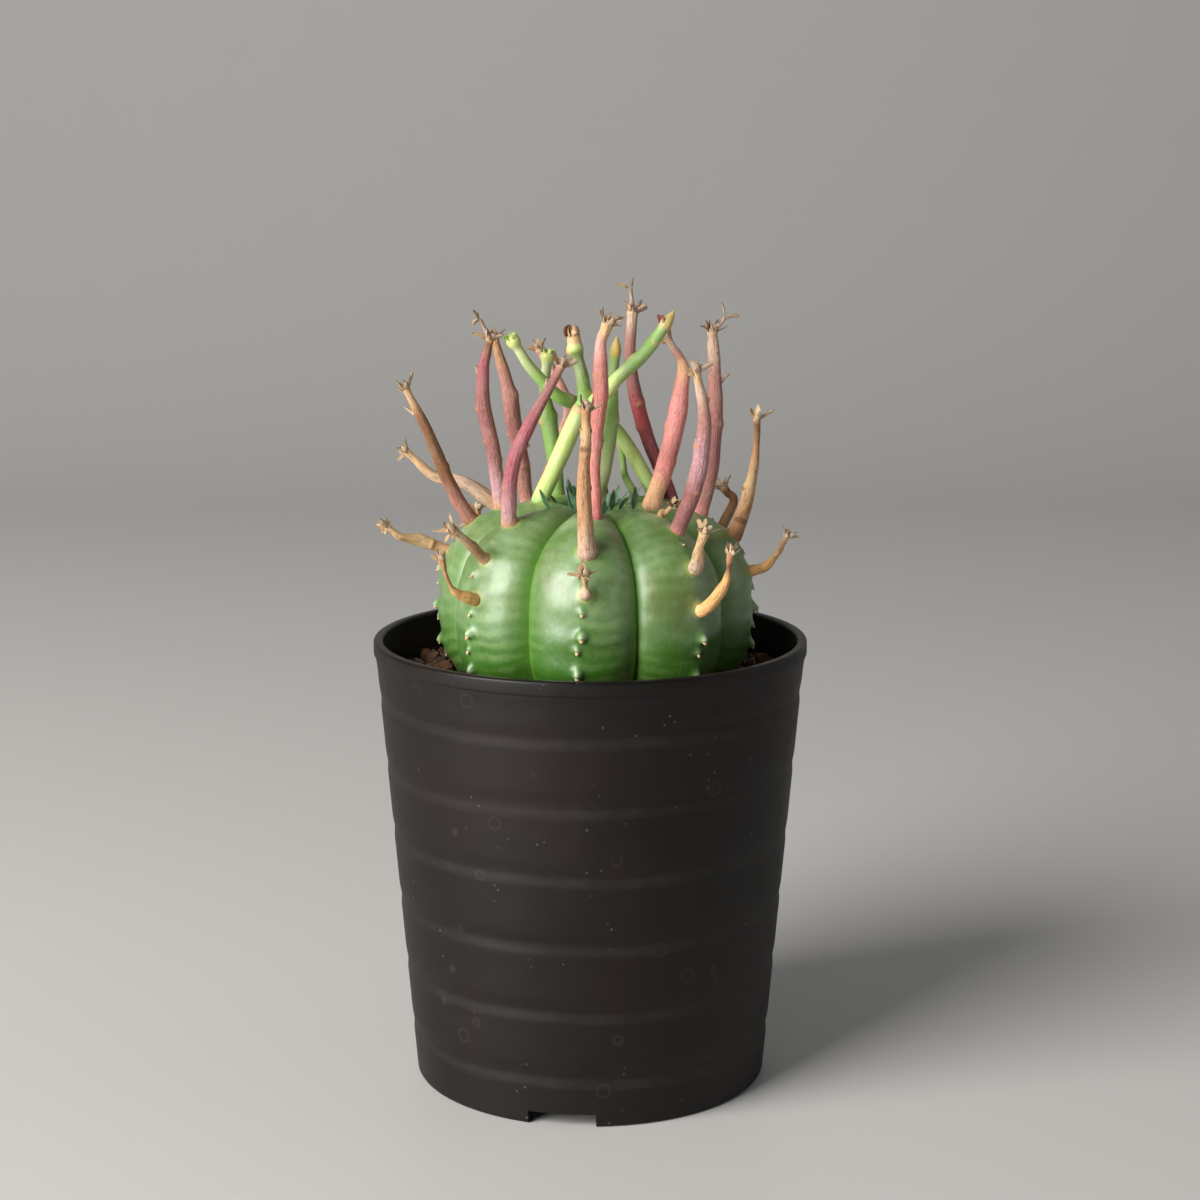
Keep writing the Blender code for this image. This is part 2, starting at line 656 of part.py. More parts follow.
def add_fork_rays(stalk, place):
    """Joins the rays of the forked stalk to its top."""
    for number, route in enumerate(FORK_RAYS):
        points = place(route)
        start = unit(points[1] - points[0])
        ray = add_stalk(
            f"fork_ray_{number + 1}", "green", points[0], start, points[1:],
            FORK_RAY_THICK[number] * PLANT_MM, FORK_RAY_TIP[number] * PLANT_MM, FORK_HEADS[number],
        )
        ray.hide_render = True
        ray.display_type = "WIRE"
        joined = stalk.modifiers.new(ray.name, "BOOLEAN")
        joined.operation = "UNION"
        joined.object = ray


# Leaves


def add_leaves():
    """Small pointed leaves round the crown: a flat diamond section that widens, then narrows to a point."""
    for number, (rib, down) in enumerate(LEAVES, 1):
        turn = rib_direction(rib)
        base = stem_surface(np.array(math.radians(down)), np.array(turn))
        outward = np.array((math.sin(turn), -math.cos(turn), 0.0))
        sideways = np.array((math.cos(turn), math.sin(turn), 0.0))
        along = outward * math.sin(LEAF_LEAN) + np.array((0, 0, math.cos(LEAF_LEAN)))
        through = np.cross(along, sideways)
        foot = base + np.array((0, 0, GAP + LEAF_THICKNESS))
        rings = []
        for share, width in LEAF_WIDTHS:
            centre = foot + along * LEAF_LENGTH * share
            half_width, half_thickness = LEAF_WIDTH / 2 * width, LEAF_THICKNESS / 2 * width
            rings += [
                centre + sideways * half_width, centre + through * half_thickness,
                centre - sideways * half_width, centre - through * half_thickness,
            ]
        add_object(f"crown_leaf_{number}", rings, grid_faces(len(LEAF_WIDTHS), 4), "leaf")


def main():
    clear_scene()
    add_pot()
    add_soil()
    add_stem()
    add_stalks()
    add_leaves()


main()
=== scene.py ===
"""Potted euphorbia, finished: a ribbed stem, its old and new flower stalks, gritty soil and a grooved pot.

Metres, +Z up. The origin is under the middle of the pot, and the front is -Y. Each piece is a surface
worked out on a grid of two parameters, and stands for the plain solid of the same part.
"""

import math
from collections import namedtuple

import bpy
import numpy as np
from bpy.props import FloatProperty, FloatVectorProperty, IntProperty, PointerProperty
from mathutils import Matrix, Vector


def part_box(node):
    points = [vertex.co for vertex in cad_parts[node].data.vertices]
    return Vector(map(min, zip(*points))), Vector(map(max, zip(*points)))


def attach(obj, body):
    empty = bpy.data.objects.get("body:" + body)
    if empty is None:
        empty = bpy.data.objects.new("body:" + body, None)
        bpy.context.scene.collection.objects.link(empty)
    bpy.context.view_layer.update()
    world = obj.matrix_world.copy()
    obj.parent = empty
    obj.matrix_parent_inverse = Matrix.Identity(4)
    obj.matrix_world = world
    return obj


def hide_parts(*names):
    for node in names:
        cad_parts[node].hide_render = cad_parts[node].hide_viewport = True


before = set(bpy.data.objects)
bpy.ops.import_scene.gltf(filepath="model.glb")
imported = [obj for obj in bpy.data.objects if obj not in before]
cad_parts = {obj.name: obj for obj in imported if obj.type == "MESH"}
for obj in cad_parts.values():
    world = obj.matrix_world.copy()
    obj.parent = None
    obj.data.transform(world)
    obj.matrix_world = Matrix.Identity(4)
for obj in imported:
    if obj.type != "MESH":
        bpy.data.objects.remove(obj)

bl_info = {
    "name": "Potted euphorbia",
    "version": (1, 0, 0),
    "blender": (4, 5, 0),
    "location": "View3D > Sidebar > Plant",
    "description": "Grows a potted, ribbed euphorbia with its flower stalks",
    "category": "Add Mesh",
}

MM = 0.001
BODY = "root"
SEED = 7

POT_LOW, POT_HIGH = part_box("pot")

# Pot
POT_WALL = 1.5 * MM
POT_BASE_RADIUS = 36.9 * MM
LIP_HEIGHT = 3.2 * MM
LIP_STEP = 0.5 * MM
LIP_ROUND = 0.6 * MM
FOOT_HEIGHT = 3.2 * MM
FOOT_WIDTH = 2.6 * MM
FLOOR_THICKNESS = 1.6 * MM
GROOVE_COUNT = 6
GROOVE_LOWEST = 10.5 * MM
GROOVE_BELOW_RIM = 11.3 * MM
NOTCH_COUNT = 3
NOTCH_WIDTH = 14.0 * MM
NOTCH_HEIGHT = 2.8 * MM
NOTCH_TURN = math.radians(-9)
DRAIN_CENTRE_RADIUS = 5.0 * MM
DRAIN_COUNT = 6
DRAIN_RADIUS = 3.0 * MM
DRAIN_CIRCLE = 21.0 * MM
DRAIN_SIDES = 24
POT_COLUMNS = 216
WALL_ROWS = 150
INSIDE_ROWS = 30
SOIL_COLUMNS = 180

# Soil and stem
SOIL_BELOW_RIM = 9.0 * MM
STEM_OFFSET = 1.0 * MM
STEM_ABOVE_WIDEST = 24.0 * MM
STEM_BELOW_WIDEST = 22.0 * MM
STEM_SUNK = 8.3 * MM
SHOULDER_FULLNESS = 2.9
FOOT_FULLNESS = 2.4
RIB_COUNT = 8
RIB_TURN = math.radians(-5.5)
RIB_KEEL = 0.18
CROWN_DIP = 3.0 * MM
CROWN_DIP_RADIUS = 7.0 * MM
TOOTH_PITCH = 3.8 * MM
TOOTH_FIRST = math.radians(46)  # down from the crown
TOOTH_SWAY = 0.45 * MM
TOOTH_WIDTH = 0.95 * MM
TEETH_PER_RIB = 14
SMALL_TOOTH = 0.42  # share of a large one
SMALL_TOOTH_LIFT = 0.6 * MM
BAND_PITCH = 2.9 * MM  # of the pale bands across the ribs
SWELL = 0.11 * MM
RIPPLE = 0.1 * MM
COLLAR_RISE = 0.35 * MM
COLLAR_WIDTH = 0.9 * MM
STEM_ROWS = 262
SUNK_ROWS = 7
RIB_STEPS = 19  # columns from a ridge to the furrow
LEAFLETS = 18
GOLDEN_TURN = 2.39996

# Stalks
STALK_SIDES = 28
ROWS_PER_KNOT = 18
BRACT_ROWS = 12
BRACT_SIDES = 10
BRACT_THICKNESS = 0.3 * MM
CRUMBS = 8
FRINGE_OUTER, FRINGE_ALL = 7, 11

SOIL_LEVEL = POT_HIGH.z - SOIL_BELOW_RIM
STEM_WIDEST_Z = SOIL_LEVEL - STEM_SUNK + STEM_BELOW_WIDEST

# A stalk leaves rib number `rib`, counted to the right from the front one, `turn` degrees beside its ridge
# and `down` degrees from the crown. Its route is (outwards, sideways, up) from there in millimetres, its
# girth (share of the length, radius in millimetres), and its tones (share of the length, name of a stalk
# colour). `dry` runs from 0 for a fresh stalk to 1 for a dead one, and `cup` names its end in CUPS. Blades,
# twigs and scars are set out as `Blade`, `Twig` and `Scar` say.
Stalk = namedtuple(
    "Stalk", "name slot rib turn down route girth tones dry cup blades twigs scars",
    defaults=((), (), ()),
)
# Thin pointed bract: it leaves its root towards `side` (degrees: 0 right, 90 back, 180 left, 270 front),
# `lean` degrees off the stalk, curls on by `curl` degrees, and is `length` by `width` millimetres.
Blade = namedtuple("Blade", "side lean curl length width")
# Small side branch at a share of the stalk's length, as a blade with a round section and blades of its own.
Twig = namedtuple("Twig", "along side lean curl length thick blades", defaults=((),))
# Swelling with a pale or brown scar at a share of the length.
Scar = namedtuple("Scar", "along side size")

# The bracts of the stalks at the back
FAN = (Blade(0, 40, 30, 2.0, 0.7), Blade(180, 45, -30, 2.2, 0.7), Blade(270, 35, 40, 1.6, 0.6))
STALKS = (
    Stalk(
        "dry_stalk_left_low", "dry_stalk", 6, 0, 67, ((5.5, 1.5, 2.5), (9, 4, 3.5), (11, 4.5, 5)),
        ((0, 1.35), (0.25, 1.2), (0.5, 1.3), (0.8, 0.8), (1, 0.7)),
        ((0, "tan"), (0.5, "straw"), (1, "straw")), 1.0, "star",
        (Blade(90, 10, 15, 2.6, 0.5), Blade(180, 65, 10, 1.2, 0.5), Blade(200, 100, 0, 1.0, 0.5),
         Blade(0, 60, 0, 1.0, 0.6)), (), (Scar(0.52, 90, 1.0), Scar(0.3, 270, 0.7), Scar(0.78, 200, 0.8)),
    ),
    Stalk(
        "dry_stalk_left_rear", "dry_stalk", 5, 0, 54, ((6.5, 7.5, 7.5), (10.5, 12.5, 9), (14, 16.5, 13.5)),
        ((0, 1.85), (0.3, 1.65), (0.6, 1.3), (0.85, 0.95), (1, 0.75)),
        ((0, "tan"), (0.5, "ash"), (1, "straw")), 1.0, "star",
        (Blade(0, 25, 20, 2.6, 0.9), Blade(180, 70, 10, 2.0, 0.6), Blade(270, 60, -20, 1.4, 0.5)), (),
        (Scar(0.35, 90, 1.0), Scar(0.6, 180, 0.8)),
    ),
    Stalk(
        "brown_stalk_left", "dry_stalk", 6, 0, 45, ((4.5, 2, 8.5), (8, 4.5, 18.5), (12, 5.5, 27)),
        ((0, 1.75), (0.12, 1.5), (0.5, 1.3), (0.8, 1.05), (1, 0.7)),
        ((0, "bark"), (0.15, "mauve"), (0.45, "bark"), (0.8, "bark"), (1, "straw")), 0.8, "star",
        (Blade(15, 38, 5, 3.4, 0.8), Blade(120, 20, 110, 2.2, 0.6), Blade(185, 60, -50, 1.8, 0.9),
         Blade(280, 30, 100, 1.7, 0.5)), (Twig(0.86, 180, 40, -25, 2.6, 0.35),),
        (Scar(0.45, 0, 0.8), Scar(0.2, 200, 0.7)),
    ),
    Stalk(
        "dry_stub_front_left", "dry_stalk", 7, 3, 60, ((4, 0.5, 3), (7.5, 0, 6)),
        ((0, 1.15), (0.3, 1.05), (0.8, 0.9), (1, 0.85)), ((0, "straw"), (0.5, "tan"), (1, "cream")), 0.7,
        "star",
        (Blade(170, 50, 5, 3.6, 0.5), Blade(60, 55, 0, 3.2, 0.6), Blade(0, 80, 40, 2.4, 0.7),
         Blade(200, 95, 15, 2.2, 0.7), Blade(270, 85, 20, 2.0, 0.6), Blade(240, 100, 30, 1.8, 0.5)), (),
        (Scar(0.55, 60, 0.9),),
    ),
    Stalk(
        "curled_stalk_front_left", "golden_stalk", 7, 3, 80, ((5, -0.5, 2), (7, -0.5, 5), (7.5, -1, 7.5)),
        ((0, 1.2), (0.22, 1.25), (0.45, 0.85), (0.65, 0.4), (0.9, 0.45), (1, 0.65)),
        ((0, "gold"), (0.5, "gold"), (0.8, "tan"), (1, "tan")), 0.5, "cup",
        (Blade(180, 25, 30, 2.2, 0.5), Blade(0, 20, -20, 1.9, 0.6), Blade(100, 20, 10, 1.5, 0.6)),
    ),
    Stalk(
        "mauve_stalk_left", "mauve_stalk", 6, 0, 28,
        ((2, -1, 12), (4, -2, 21), (4, -2, 28), (2.8, -2, 33.5)),
        ((0, 1.45), (0.3, 1.5), (0.6, 1.55), (0.8, 1.35), (0.92, 1.05), (1, 0.8)),
        ((0, "tan"), (0.12, "lilac"), (0.35, "plum"), (0.65, "plum"), (0.88, "rosewood"), (1, "bark")),
        0.35, "star",
        (Blade(180, 75, 10, 3.0, 0.9), Blade(0, 60, -30, 2.6, 0.8), Blade(20, 40, -10, 2.0, 0.7),
         Blade(270, 50, 60, 1.6, 0.6)),
        (Twig(1.0, 190, 36, 4, 4.6, 0.5,
              (Blade(180, 5, 0, 2.2, 1.0), Blade(200, 70, 60, 1.8, 0.8), Blade(160, 100, 40, 1.6, 0.8))),
         Twig(0.83, 180, 45, -30, 1.4, 0.4)),
        (Scar(0.42, 180, 0.8), Scar(0.62, 180, 0.9), Scar(0.3, 20, 0.7)),
    ),
    Stalk(
        "mauve_stalk_left_rear", "mauve_stalk", 5, 0, 36,
        ((1, 1, 9.5), (1.5, 2.5, 17.5), (2, 3.5, 24.5), (3, 6, 34)),
        ((0, 1.45), (0.25, 1.65), (0.6, 1.75), (0.8, 1.3), (1, 0.85)),
        ((0, "pink"), (0.12, "mauve"), (0.4, "plum"), (0.75, "mauve"), (1, "tan")), 0.3, "star",
        (Blade(0, 50, 20, 2.4, 0.8), Blade(90, 40, 40, 1.8, 0.7), Blade(180, 60, 10, 1.6, 0.6)), (),
        (Scar(0.45, 180, 0.8), Scar(0.68, 0, 1.2), Scar(0.25, 300, 0.7)),
    ),
    Stalk(
        "purple_stalk_front_left", "mauve_stalk", 7, 0, 34,
        ((1.5, 1.5, 8), (1, 3, 14.5), (-1, 5, 20.5), (-5.5, 8.5, 31)),
        ((0, 1.7), (0.08, 1.55), (0.35, 1.45), (0.6, 1.35), (0.85, 1.0), (1, 0.8)),
        ((0, "tan"), (0.1, "lilac"), (0.3, "rosewood"), (0.6, "rosewood"), (0.88, "plum"), (1, "mauve")),
        0.45, "star",
        (Blade(200, 62, -25, 3.0, 1.2), Blade(340, 28, 15, 3.0, 1.3), Blade(270, 60, 40, 1.7, 1.0),
         Blade(90, 50, 10, 1.6, 0.7)),
        (Twig(0.5, 0, 45, -20, 1.4, 0.5), Twig(0.88, 180, 25, -10, 1.8, 0.35)),
        (Scar(0.5, 0, 1.1), Scar(0.25, 200, 0.6)),
    ),
    Stalk(
        "green_stalk_forked", "green_stalk", 6, 0, 12, ((-3, 1, 7.5), (-7, 1.5, 16.5), (-9, 1, 20)),
        ((0, 1.85), (0.1, 1.75), (0.7, 1.85), (1, 1.95)),
        ((0, "leaf"), (0.12, "lime"), (0.8, "lime"), (1, "leaf")), 0.0, "plain", (), (),
        (Scar(0.93, 240, 0.9),),
    ),
    Stalk(
        "green_stalk_flowering", "green_stalk", 5, 0, 14,
        ((0.5, 1, 10.5), (0.5, 2.5, 18), (0.5, 3, 23.5), (0.5, 2.5, 27.5)),
        ((0, 1.35), (0.4, 1.7), (0.62, 1.85), (0.75, 1.3), (1, 1.05)),
        ((0, "leaf"), (0.4, "leaf"), (0.75, "moss"), (1, "pale")), 0.0, "flower", (), (),
        (Scar(0.6, 190, 1.2), Scar(0.62, 20, 1.1)),
    ),
    Stalk(
        "pink_stalk_rear", "pink_stalk", 5, 0, 24,
        ((-0.5, -4, 10.5), (-1, -6.5, 17.5), (0.5, -4.5, 24.5), (2.5, -2, 30)),
        ((0, 1.25), (0.5, 1.25), (1, 0.95)), ((0, "mauve"), (0.4, "rose"), (1, "rose")), 0.2, "star",
        (Blade(180, 40, 20, 2.0, 0.7), Blade(90, 30, 20, 1.6, 0.6)), (), (Scar(0.5, 180, 0.8),),
    ),
    Stalk(
        "pink_stalk_front", "pink_stalk", 0, 6, 21,
        ((-2, -0.5, 9.5), (-4, 0, 17.5), (-5, 1, 24.5), (-6, 1, 33.5), (-6, 2, 37)),
        ((0, 1.2), (0.25, 1.4), (0.55, 1.65), (0.8, 1.45), (0.95, 1.1), (1, 1.05)),
        ((0, "crimson"), (0.15, "pink"), (0.5, "pink"), (0.75, "pink"), (0.92, "rose"), (1, "straw")),
        0.15, "star",
        (Blade(185, 25, -15, 3.2, 0.5), Blade(0, 35, 10, 3.0, 0.6), Blade(20, 25, 40, 3.2, 0.5),
         Blade(330, 28, 60, 2.8, 0.5), Blade(90, 20, 20, 2.6, 0.6), Blade(290, 15, 30, 2.4, 0.5),
         Blade(60, 35, 50, 2.6, 0.5), Blade(0, 60, 30, 2.0, 0.7)), (Twig(0.42, 20, 60, -10, 0.9, 0.5),),
        (Scar(0.76, 200, 0.7), Scar(0.4, 20, 1.0), Scar(0.52, 180, 0.7)),
    ),
    Stalk(
        "dry_stalk_front", "dry_stalk", 0, 2, 50, ((2, -0.5, 13.5), (3, 0, 22), (3, 0, 27)),
        ((0, 1.9), (0.07, 1.7), (0.45, 1.4), (0.75, 1.1), (0.92, 0.9), (1, 0.9)),
        ((0, "bark"), (0.06, "ash"), (0.3, "tan"), (0.7, "tan"), (0.9, "straw"), (1, "tan")), 1.0, "cup",
        (Blade(175, 12, -15, 3.0, 0.7), Blade(10, 40, -60, 2.6, 0.9), Blade(0, 70, -40, 3.0, 0.5),
         Blade(280, 40, 30, 1.5, 0.6)), (Twig(0.84, 185, 10, 6, 2.2, 0.3),),
        (Scar(0.78, 250, 0.9), Scar(0.5, 10, 0.6), Scar(0.9, 0, 0.8)),
    ),
    Stalk(
        "green_stalk_bud", "green_stalk", 4, 0, 9,
        ((-2, -1.5, 6.5), (-4, -3, 16), (-3.5, -3, 24), (-3.5, -3.5, 29)),
        ((0, 1.45), (0.4, 1.35), (0.7, 1.3), (1, 1.05)),
        ((0, "pale"), (0.25, "pale"), (0.5, "leaf"), (1, "leaf")), 0.0, "bud", (), (),
        (Scar(0.6, 0, 0.8), Scar(0.35, 180, 0.6)),
    ),
    Stalk(
        "green_stalk_crossing", "green_stalk", 3, 0, 20,
        ((-4, 6, 13), (-11.5, 8.5, 19), (-19, 8, 22), (-24.5, 10, 28), (-27, 11, 32)),
        ((0, 1.55), (0.3, 1.5), (0.6, 1.5), (0.85, 1.2), (1, 1.0)),
        ((0, "leaf"), (0.2, "lime"), (0.5, "leaf"), (0.8, "leaf"), (1, "pale")), 0.0, "flower", (), (),
        (Scar(0.66, 0, 1.0), Scar(0.8, 20, 1.0), Scar(0.45, 270, 0.7)),
    ),
    Stalk(
        "green_stalk_thin", "green_stalk", 3, 0, 11, ((1.5, 4.5, 4), (3.5, 8, 8.5)), ((0, 0.85), (1, 0.7)),
        ((0, "moss"), (1, "leaf")), 0.0, "bud",
    ),
    Stalk(
        "crimson_stalk_rear", "crimson_stalk", 3, 0, 30,
        ((-1.5, 5.5, 13.5), (-3.5, 7, 22.5), (-4.5, 7.5, 30.5), (-4, 7.5, 37), (-3.9, 7.5, 38.5)),
        ((0, 1.45), (0.3, 1.45), (0.55, 1.55), (0.8, 1.2), (1, 1.1)),
        ((0, "wine"), (0.3, "wine"), (0.5, "crimson"), (0.7, "plum"), (0.88, "mauve"), (1, "ash")), 0.2,
        "star",
        (Blade(0, 70, -20, 2.4, 0.7), Blade(340, 45, 10, 2.6, 0.9), Blade(180, 20, 20, 1.6, 0.6),
         Blade(270, 40, 50, 1.8, 0.7), Blade(20, 30, -20, 2.8, 1.0), Blade(90, 40, 20, 1.8, 0.8)),
        (Twig(1.0, 190, 6, 4, 5.0, 0.5, (Blade(180, 62, 10, 2.8, 0.9), Blade(0, 22, -10, 2.0, 0.8))),),
        (Scar(0.56, 300, 0.9), Scar(0.44, 180, 1.0)),
    ),
    Stalk(
        "salmon_stalk_right", "pink_stalk", 2, -8, 14,
        ((1.5, 3.5, 7), (3.5, 4.5, 15.5), (4.5, 5.5, 23), (4.8, 6, 28.5), (2.3, 6, 32.5)),
        ((0, 2.0), (0.1, 1.8), (0.3, 1.9), (0.6, 1.95), (0.8, 1.45), (0.92, 0.85), (1, 0.75)),
        ((0, "apricot"), (0.1, "apricot"), (0.24, "coral"), (0.34, "pink"), (0.5, "coral"),
         (0.7, "coral"), (0.86, "apricot"), (0.94, "rose"), (1, "ash")), 0.1, "cup",
        (Blade(10, 40, -40, 2.8, 1.5), Blade(190, 70, 10, 3.0, 1.2), Blade(300, 35, 10, 2.0, 1.1)), (),
        (Scar(0.5, 180, 0.9), Scar(0.22, 210, 0.5), Scar(0.3, 0, 0.7)),
    ),
    Stalk(
        "mauve_stalk_front_right", "mauve_stalk", 1, 4, 39,
        ((2.5, 1.5, 7), (4.5, 2, 14.5), (5, 2.5, 23), (4, 1.5, 31)),
        ((0, 1.45), (0.12, 1.6), (0.4, 1.75), (0.65, 1.5), (0.85, 1.1), (1, 0.8)),
        ((0, "pink"), (0.08, "plum"), (0.25, "plum"), (0.5, "lilac"), (0.75, "mauve"), (0.92, "ash"),
         (1, "straw")), 0.35, "star",
        (Blade(240, 10, 15, 2.8, 1.2), Blade(335, 60, 15, 3.0, 1.3), Blade(200, 80, 10, 1.4, 1.1),
         Blade(270, 70, 20, 1.6, 1.0)),
        (Twig(0.6, 190, 30, -15, 1.3, 0.5), Twig(0.84, 0, 40, -20, 1.0, 0.5)),
        (Scar(0.3, 300, 0.8), Scar(0.58, 190, 1.0)),
    ),
    Stalk(
        "mauve_stalk_right", "mauve_stalk", 2, 3, 33,
        ((2, 2, 8.5), (3, 3, 18.5), (3, 4, 27.5), (2.6, 5, 34.5), (2.5, 5, 36)),
        ((0, 1.65), (0.3, 1.9), (0.6, 1.7), (0.85, 1.3), (0.95, 1.25), (1, 1.0)),
        ((0, "coral"), (0.1, "mauve"), (0.4, "plum"), (0.75, "mauve"), (0.92, "ash"), (1, "ash")), 0.35,
        "star", (Blade(180, 5, 10, 2.4, 0.7), Blade(200, 20, 20, 1.8, 0.6), Blade(0, 75, -20, 2.6, 0.6)),
        (Twig(1.0, 0, 52, -12, 3.9, 0.55, (Blade(180, 42, 10, 2.8, 0.9), Blade(0, 45, 0, 2.6, 1.1))),
         Twig(0.75, 0, 60, -25, 2.6, 0.45)), (Scar(0.33, 200, 0.8), Scar(0.52, 10, 0.9)),
    ),
    Stalk(
        "dry_stalk_right", "dry_stalk", 2, 2, 54, ((3, 1, 7), (4.5, 1, 14.5), (5, 1, 21), (5, 1, 23)),
        ((0, 1.65), (0.15, 1.5), (0.4, 1.35), (0.65, 0.95), (0.85, 0.65), (1, 0.7)),
        ((0, "bark"), (0.2, "tan"), (0.5, "straw"), (0.8, "tan"), (1, "bark")), 1.0, "star",
        (Blade(270, 4, -8, 3.2, 1.3), Blade(0, 52, 10, 3.4, 0.8), Blade(270, 30, 20, 1.4, 0.9)), (),
        (Scar(0.18, 270, 1.0), Scar(0.45, 180, 0.8)),
    ),
    Stalk(
        "dry_stub_right_rear", "dry_stalk", 3, 0, 72, ((4, -3.5, 9.5), (3, -2.5, 12)),
        ((0, 1.35), (0.5, 1.1), (1, 0.85)), ((0, "bark"), (0.5, "tan"), (1, "bark")), 1.0, "star",
        (Blade(180, 40, -20, 2.4, 0.7), Blade(0, 50, 20, 2.4, 0.7)), (Twig(0.4, 180, 70, -20, 2.4, 0.45),),
        (Scar(0.4, 0, 0.9),),
    ),
    Stalk(
        "curled_stalk_right", "dry_stalk", 2, 0, 75, ((3.5, 0.5, 1), (6, 0.5, 4), (7, 0.5, 6)),
        ((0, 1.15), (0.4, 1.0), (0.7, 0.6), (1, 0.5)), ((0, "gold"), (0.5, "gold"), (1, "tan")), 0.7,
        "star", (Blade(100, 15, 10, 2.0, 0.8), Blade(0, 45, 20, 2.4, 0.6)),
    ),
    Stalk(
        "dry_stub_front_right", "dry_stalk", 1, 0, 64, ((3.5, -1.5, 4.5), (4.5, -1.5, 7)),
        ((0, 1.2), (0.2, 1.45), (0.5, 1.2), (0.8, 0.85), (1, 0.95)),
        ((0, "ash"), (0.3, "ash"), (0.7, "straw"), (1, "straw")), 1.0, "star",
        (Blade(100, 8, 5, 2.4, 0.9), Blade(0, 50, 10, 2.8, 0.8), Blade(180, 60, -20, 1.0, 0.5)), (),
        (Scar(0.22, 250, 0.9), Scar(0.5, 0, 1.0)),
    ),
    Stalk(
        "golden_stalk_front_right", "golden_stalk", 1, 0, 83, ((4, 0, 2.5), (6.5, 1, 6.5), (7.5, 1, 11)),
        ((0, 1.2), (0.2, 1.3), (0.5, 1.15), (0.75, 0.75), (0.86, 0.45), (1, 0.65)),
        ((0, "apricot"), (0.25, "gold"), (0.7, "gold"), (0.9, "bark"), (1, "tan")), 0.8, "cup",
        (Blade(180, 8, 5, 2.4, 0.6), Blade(0, 50, -20, 1.8, 0.7), Blade(90, 30, 0, 1.4, 0.7)), (),
        (Scar(0.55, 0, 0.6),),
    ),
    Stalk(
        "dry_stub_crown", "dry_stalk", 1, 6, 26, ((1, 0.5, 1.2), (2, 0.5, 2)), ((0, 0.8), (1, 0.5)),
        ((0, "tan"), (1, "straw")), 1.0, "star",
        (Blade(0, 40, 50, 2.2, 0.6), Blade(180, 60, 20, 1.2, 0.5)),
    ),
    Stalk(
        "dry_stub_front", "dry_stalk", 0, 2, 74, ((1.4, 0, 1.6), (2.4, 0, 3.5)),
        ((0, 1.1), (0.35, 1.05), (0.7, 0.55), (1, 0.7)), ((0, "rose"), (0.4, "cream"), (1, "straw")), 0.5,
        "star",
        (Blade(180, 75, 15, 2.6, 0.7), Blade(0, 60, 5, 2.4, 0.7), Blade(90, 20, 20, 1.6, 1.0),
         Blade(300, 95, 10, 1.2, 0.7)),
    ),
    Stalk(
        "dry_stalk_back", "dry_stalk", 4, 2, 48, ((2.5, 1, 8), (5, 1.5, 15), (5.5, 0.5, 21)),
        ((0, 1.7), (0.2, 1.5), (0.6, 1.35), (1, 0.9)), ((0, "bark"), (0.3, "tan"), (1, "straw")), 1.0,
        "star", FAN, (Twig(0.7, 0, 40, -20, 1.6, 0.4),), (Scar(0.3, 180, 0.9), Scar(0.55, 60, 0.8)),
    ),
    Stalk(
        "dry_stub_back", "dry_stalk", 4, 0, 73, ((3.5, 0.5, 3), (5.5, 0.5, 6.5)),
        ((0, 1.25), (0.5, 1.1), (1, 0.75)), ((0, "tan"), (0.5, "bark"), (1, "straw")), 1.0, "star", FAN,
    ),
    Stalk(
        "curled_stalk_back_left", "golden_stalk", 5, 0, 80, ((4, 0.5, 2), (6, 1, 6), (6, 1.5, 9)),
        ((0, 1.2), (0.25, 1.3), (0.6, 0.8), (0.85, 0.45), (1, 0.65)),
        ((0, "apricot"), (0.3, "gold"), (1, "tan")), 0.8, "cup", FAN,
    ),
)
# The two rays that the forked stalk ends in, set out from the foot of that stalk.
FORK_RAYS = (
    Stalk(
        "centre_ray", "green_stalk", 6, 0, 12,
        ((-9, 1, 20), (-8.6, 0.7, 25), (-7.5, 0.5, 29.5), (-6.8, 0.5, 33)),
        ((0, 1.65), (0.3, 1.4), (0.75, 1.25), (0.9, 1.65), (1, 1.45)),
        ((0, "leaf"), (0.4, "moss"), (0.82, "moss"), (0.93, "lime"), (1, "straw")), 0.0, "husk",
        (Blade(180, 20, -100, 2.8, 1.5), Blade(0, 24, -85, 2.8, 1.6), Blade(265, 18, -110, 2.2, 1.3),
         Blade(90, 16, -80, 2.8, 1.5), Blade(225, 14, -60, 2.2, 1.2), Blade(315, 20, -95, 2.6, 1.3),
         Blade(135, 14, -50, 2.6, 1.3)), (), (Scar(0.87, 190, 1.2), Scar(0.25, 0, 1.0)),
    ),
    Stalk(
        "right_ray", "green_stalk", 6, 0, 12,
        ((-9, 1, 20), (-13, 1.5, 22.5), (-16, 2, 26), (-20.5, 2.5, 30), (-24, 3.5, 34.5),
         (-24.7, 3.5, 35.5)), ((0, 1.45), (0.3, 1.4), (0.6, 1.35), (0.85, 1.35), (1, 1.15)),
        ((0, "leaf"), (0.3, "lime"), (0.65, "leaf"), (1, "leaf")), 0.0, "bud",
        (Blade(180, 32, 30, 2.0, 1.0), Blade(215, 14, 50, 2.2, 0.8), Blade(150, 25, -30, 2.0, 0.8)), (),
        (Scar(0.64, 150, 1.6), Scar(0.9, 300, 1.1), Scar(0.2, 270, 0.8)),
    ),
)
FORK_OF = "green_stalk_forked"

